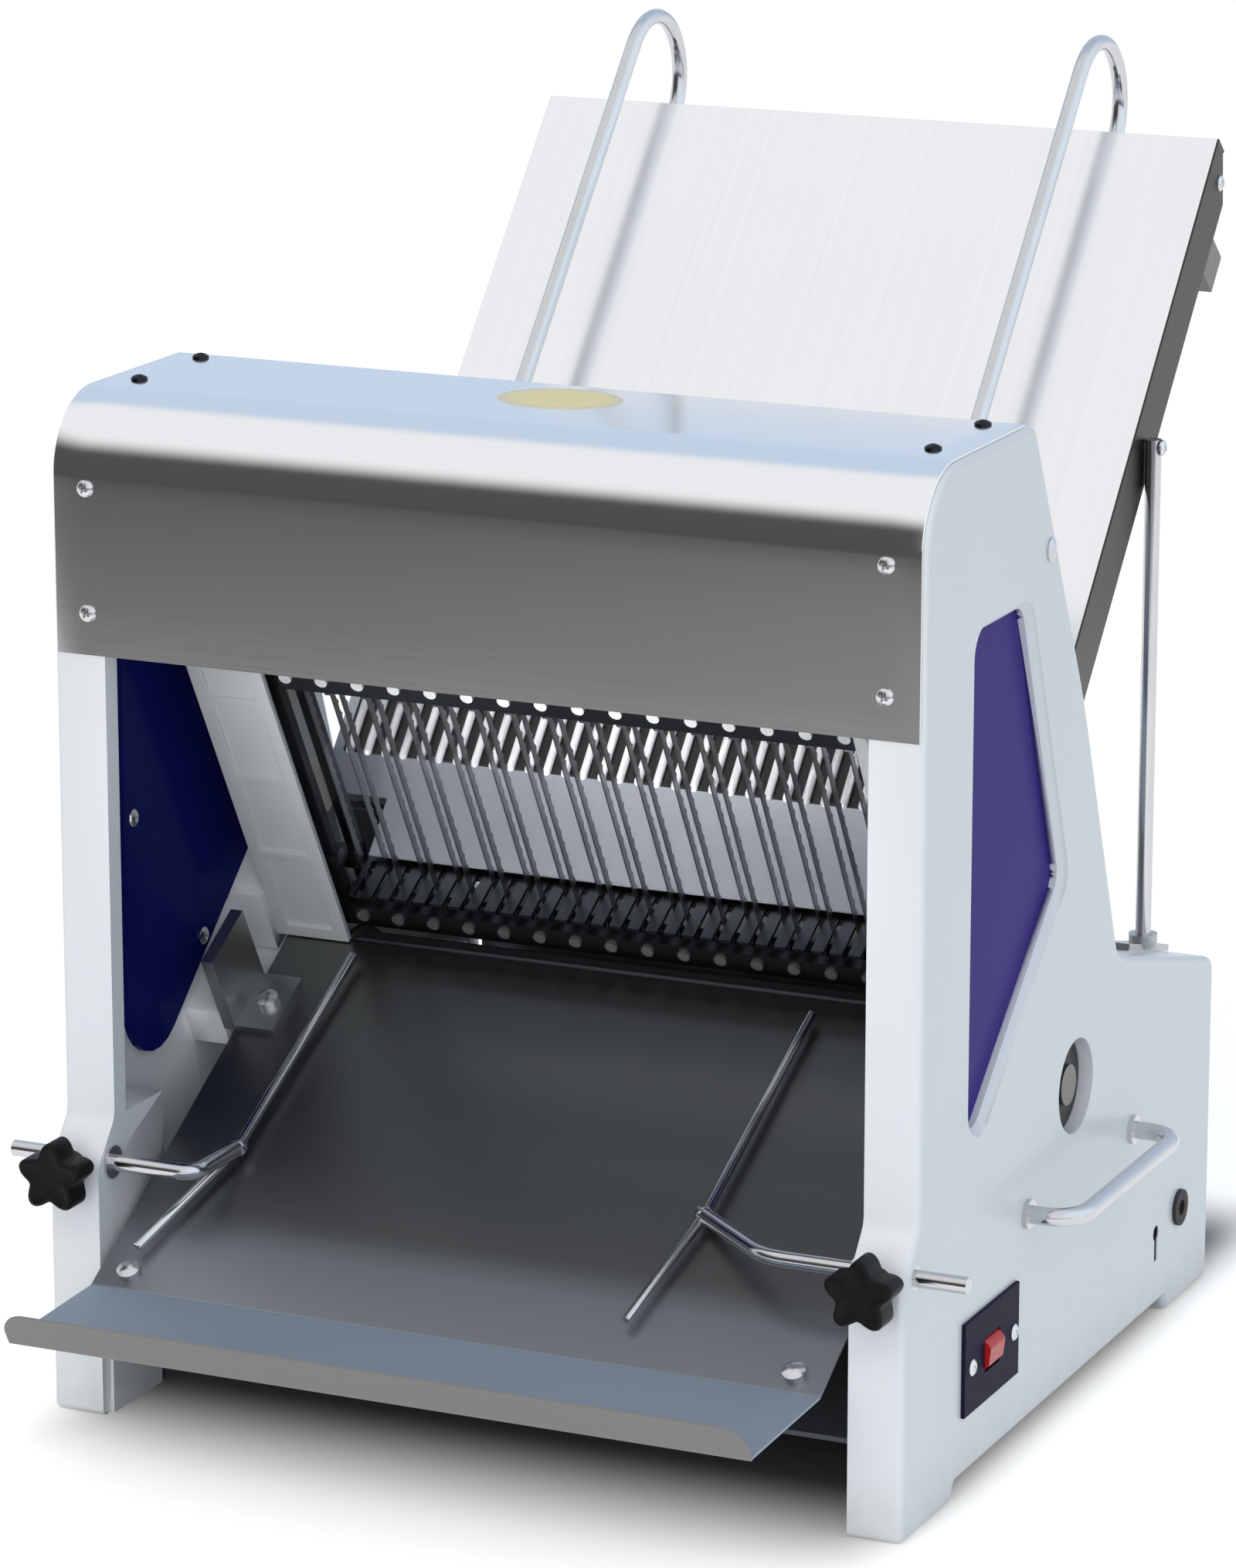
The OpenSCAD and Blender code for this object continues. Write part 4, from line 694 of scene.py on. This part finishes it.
oval_points = np.stack(np.broadcast_arrays(
    share * oval_wide * np.cos(around), oval_y + share * oval_deep * np.sin(around),
    high_corner[2] + rise), -1)
oval_shell = oval_points, grid_faces(*oval_points.shape[:2])
piece("yellow_oval", [oval_shell], "machine", yellow)

# %% [markdown]
# A tray guide is a clamped rod that bends back into an arm, and a thinner wire welded to the arm's
# end. Both are round profiles carried along paths whose corners are eased to arcs. A curve with a
# bevel would be quicker, but arrays keep the tube's ends closed and its place in the mesh.

# %% Tubes along paths
def eased_path(corners, radius, steps=14):
    """Straight runs joined by curves: each inner corner becomes a quadratic arc that starts and
    ends a radius away from it."""
    corners = np.array(corners, float)
    line = [corners[:1]]
    for before, corner, after in zip(corners, corners[1:], corners[2:]):
        start = corner + (before - corner) / np.linalg.norm(before - corner) * radius
        end = corner + (after - corner) / np.linalg.norm(after - corner) * radius
        t = np.linspace(0.0, 1.0, steps)[:, None]
        line.append((1 - t) ** 2 * start + 2 * t * (1 - t) * corner + t ** 2 * end)
    return np.concatenate(line + [corners[-1:]])


def tube(path, radius, sides=20):
    """Rings of a radius round each point of a path, square to it, with domed ends that shrink to
    points. The rings start from a direction that no run of a path takes."""
    aside = np.array([0.1, 0.2, 1.0])
    tangent = np.gradient(path, axis=0)
    tangent /= np.linalg.norm(tangent, axis=1)[:, None]
    swell = np.array([0.0, 0.6, 0.9, 1.0])
    reach = np.array([-0.25, -0.2, -0.1, 0.0]) * radius
    centre = np.concatenate([path[0] + reach[:, None] * tangent[0], path[1:-1],
                             path[-1] - reach[::-1, None] * tangent[-1]])
    first, last = (np.repeat(end, len(swell), 0) for end in (tangent[:1], tangent[-1:]))
    along = np.concatenate([first, tangent[1:-1], last])
    width = radius * np.concatenate([swell, np.ones(len(path) - 2), swell[::-1]])
    side = np.cross(along, aside)
    side /= np.linalg.norm(side, axis=1)[:, None]
    other = np.cross(side, along)
    angle = round_angles(sides)[None, :, None]
    circle = np.cos(angle) * side[:, None] + np.sin(angle) * other[:, None]
    points = centre[:, None] + width[:, None, None] * circle
    return points, grid_faces(len(centre), sides)


def at(*place):
    """A place in millimetres of the machine's own measures, in metres of the frame."""
    return np.array([place[0], place[1] - mid_y, place[2]]) / 1000.0


print("helpers: eased_path, tube, at")

# %% [markdown]
# The arms and wires of both guides are given by their corners. Mirroring one guide would be
# shorter, but the right one is set further in than the left one. A flattened ball of weld covers
# the place where a wire meets its arm.

# %% Tray guides
def weld_bead(centre, size):
    """A flattened ball: rings of latitude round the vertical through a centre."""
    rise, turn = np.meshgrid(np.linspace(-np.pi / 2, np.pi / 2, 10), round_angles(20),
                             indexing="ij")
    ball = np.stack([np.cos(rise) * np.cos(turn), np.cos(rise) * np.sin(turn), np.sin(rise)], -1)
    return centre + ball * np.array(size), grid_faces(*rise.shape)


rod_z, low_z, high_z = 154.77, 111.77, 237.77
arm_r, arm_bend, wire_r, wire_bend = 0.005, 0.012, 0.003, 0.006
bead_size = (0.006, 0.006, 0.0052)
guide_lines = {
    "left": ([(-305.6, -5, rod_z), (-185, -5, rod_z), (-184, 52.5, rod_z)],
             [(-212, -25.6, low_z), (-184, 48.86, rod_z), (-178, 192.6, high_z)]),
    "right": ([(305.6, -5, rod_z), (182, -5, rod_z), (118.4, 51.2, rod_z)],
              [(105, -25.6, low_z), (121, 48.86, rod_z), (127, 192.6, high_z)]),
}
for side, (arm, wire) in guide_lines.items():
    arm_path = eased_path([at(*p) for p in arm], arm_bend)
    wire_path = eased_path([at(*p) for p in wire], wire_bend)
    shells = [tube(arm_path, arm_r), tube(wire_path, wire_r), weld_bead(at(*wire[1]), bead_size)]
    made = piece(side + "_tray_guide_rod", shells, side + "_slice_guide", chrome)
    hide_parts(side + "_tray_guide")

# %% [markdown]
# The star knobs are black moulded plastic with five lobes. The radius is a wave round a circle,
# R = r - dip (1 - cos 5a) / 2, and a second parameter runs from the stud, over the neck, round the
# back edge, the rim and the front edge into a shallow dish. Where the neck is, the wave is nought.

# %% Star knobs
lobes, star_r, star_dip = 5, 21.5, 7.0
knob_x, knob_y = 257.0, -21.0
angle = round_angles(120)
wave = star_r - star_dip * (1 - np.cos(lobes * (angle - np.pi / 2))) / 2
# radius, share of the wave, inset of the wave, height, all along the profile in millimetres
profile = np.array([
    [0.0, 0, 0, -8.6], [3.6, 0, 0, -8.6], [3.8, 0, 0, -8.4], [3.8, 0, 0, 0.3], [9.4, 0, 0, 0.3],
    [10.0, 0, 0, 0.9], [10.0, 0, 0, 8.0], [10.6, 0, 0, 9.6], [11.0, 0.5, 5, 10.0],
    [0, 1, 1.8, 10.0], [0, 1, 0.8, 10.3], [0, 1, 0.2, 11.0], [0, 1, 0.0, 12.0],
    [0, 1, 0.0, 27.4], [0, 1, 0.25, 28.6], [0, 1, 0.9, 29.5], [0, 1, 2.0, 29.95],
    [0, 1, 3.2, 30.0], [0, 1, 4.2, 29.6], [7.0, 0.3, 5, 28.9], [4.0, 0, 0, 28.7],
    [0.0, 0, 0, 28.7]])
plain, waved, inset, height = (profile[:, [column]] for column in range(4))
radius = plain * (1 - waved) + waved * (wave - inset)
for side, hand in (("left", -1), ("right", 1)):
    star = np.stack(np.broadcast_arrays(
        hand * knob_x + radius * np.cos(angle), knob_y - height,
        rod_z + radius * np.sin(angle)), -1)
    star = (star - np.array([0, mid_y, 0])) / 1000.0
    made = piece(side + "_star_knob", [(star, grid_faces(*radius.shape))],
                 side + "_clamp_knob", black_plastic, 50.0)
    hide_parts(side + "_knob")

# %% [markdown]
# Screws are where a close look tells a model from a stand-in, so each pan head gets a domed top
# with a cross recess. Their places are read from the CAD screws: points that share faces carry one
# label, and the one way in which a head spreads unlike the other two is its axis.

# %% Places of the screws
def loose_parts(node):
    """The points of each separate solid of a CAD piece, by spreading the lowest label over faces."""
    mesh = cad[node].data
    points = np.zeros(len(mesh.vertices) * 3, np.float32)
    mesh.vertices.foreach_get("co", points)
    corners = np.zeros(len(mesh.loops), np.int32)
    mesh.loops.foreach_get("vertex_index", corners)
    unique, same = np.unique(np.round(points.reshape(-1, 3), 6), axis=0, return_inverse=True)
    corners = same.ravel()[corners].reshape(-1, 3)
    label = np.arange(len(unique))
    while True:
        lowest = label[corners].min(1)
        spread = label.copy()
        np.minimum.at(spread, corners.ravel(), np.repeat(lowest, 3))
        if (spread == label).all():
            break
        label = spread
    return [unique[label == value] for value in np.unique(label)]


def head_frame(points):
    """Seat, axis, radius and height of a round head: the axis is the odd way of its spread, and
    the seat is the end where the points lie furthest from it."""
    middle = (points.max(0) + points.min(0)) / 2
    spread, ways = np.linalg.eigh(np.cov((points - middle).T))
    odd = np.argmax(np.abs(spread - np.median(spread)))
    axis = ways[:, odd]
    height = (points - middle) @ axis
    reach = np.linalg.norm((points - middle) - height[:, None] * axis, axis=1)
    if height[reach > reach.max() * 0.98].min() > height.min() + 1e-5:
        axis, height = -axis, -height
    return middle + axis * height.min(), axis, reach.max(), np.ptp(height)


screw_nodes = ("cover_screws", "window_screws", "switch_screws")
heads = {node: [head_frame(solid) for solid in loose_parts(node)] for node in screw_nodes}
print({node: len(found) for node, found in heads.items()})

# %% [markdown]
# A head is one polar grid, turned to the axis of each screw and as wide and tall as the CAD head.
# The cross could be cut out with a boolean, but a depth that falls off at the walls of the cross
# keeps the grid whole and all heads alike.

# %% Pan heads with a cross recess
def pan_head(seat, axis, wide, tall):
    """Polar grid over a head: a dome, cut by a cross whose depth falls off at its walls."""
    side = np.cross(axis, [0.31, 0.74, 0.59])
    side /= np.linalg.norm(side)
    other = np.cross(axis, side)
    share = np.array([0.0, 0.08, 0.16, 0.24, 0.32, 0.40, 0.48, 0.56, 0.66, 0.78, 0.90, 0.97,
                      1.0, 1.0, 0.0])
    ring, rim = np.arange(len(share)), 12
    turn = round_angles(64)
    dome = np.sqrt(np.clip(1 - (share * 0.92) ** 2, 0, 1))
    swell = (dome - dome[rim]) / (1 - dome[rim])
    rise = np.where(ring <= rim, tall * (0.35 + 0.65 * swell), 0.0)[:, None]
    x, y = share[:, None] * np.cos(turn), share[:, None] * np.sin(turn)
    arm_half, arm_long, depth = 0.13, 0.56, tall * 0.5
    arms = [np.clip((arm_half - np.abs(a)) / 0.05, 0, 1)
            * np.clip((arm_long - np.abs(b)) / 0.1, 0, 1) for a, b in ((x, y), (y, x))]
    height = rise - depth * np.maximum(*arms) * (ring < rim)[:, None]
    points = seat + wide * (x[..., None] * side + y[..., None] * other) + height[..., None] * axis
    return points, grid_faces(len(share), len(turn))


for node, found in heads.items():
    made = piece(node + "_cross_heads", [pan_head(*head) for head in found],
                 body_of[node], screw_steel, 30.0)
    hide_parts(node)

# %% [markdown]
# Last, the box of the dressed machine is set beside that of the CAD frame, because dressing must
# not make it bigger.

# %% Sizes before and after
dressed_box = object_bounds()
boxes = [[np.round(c, 4).tolist() for c in pair] for pair in (cad_box, dressed_box)]
print("box before and after:", boxes)
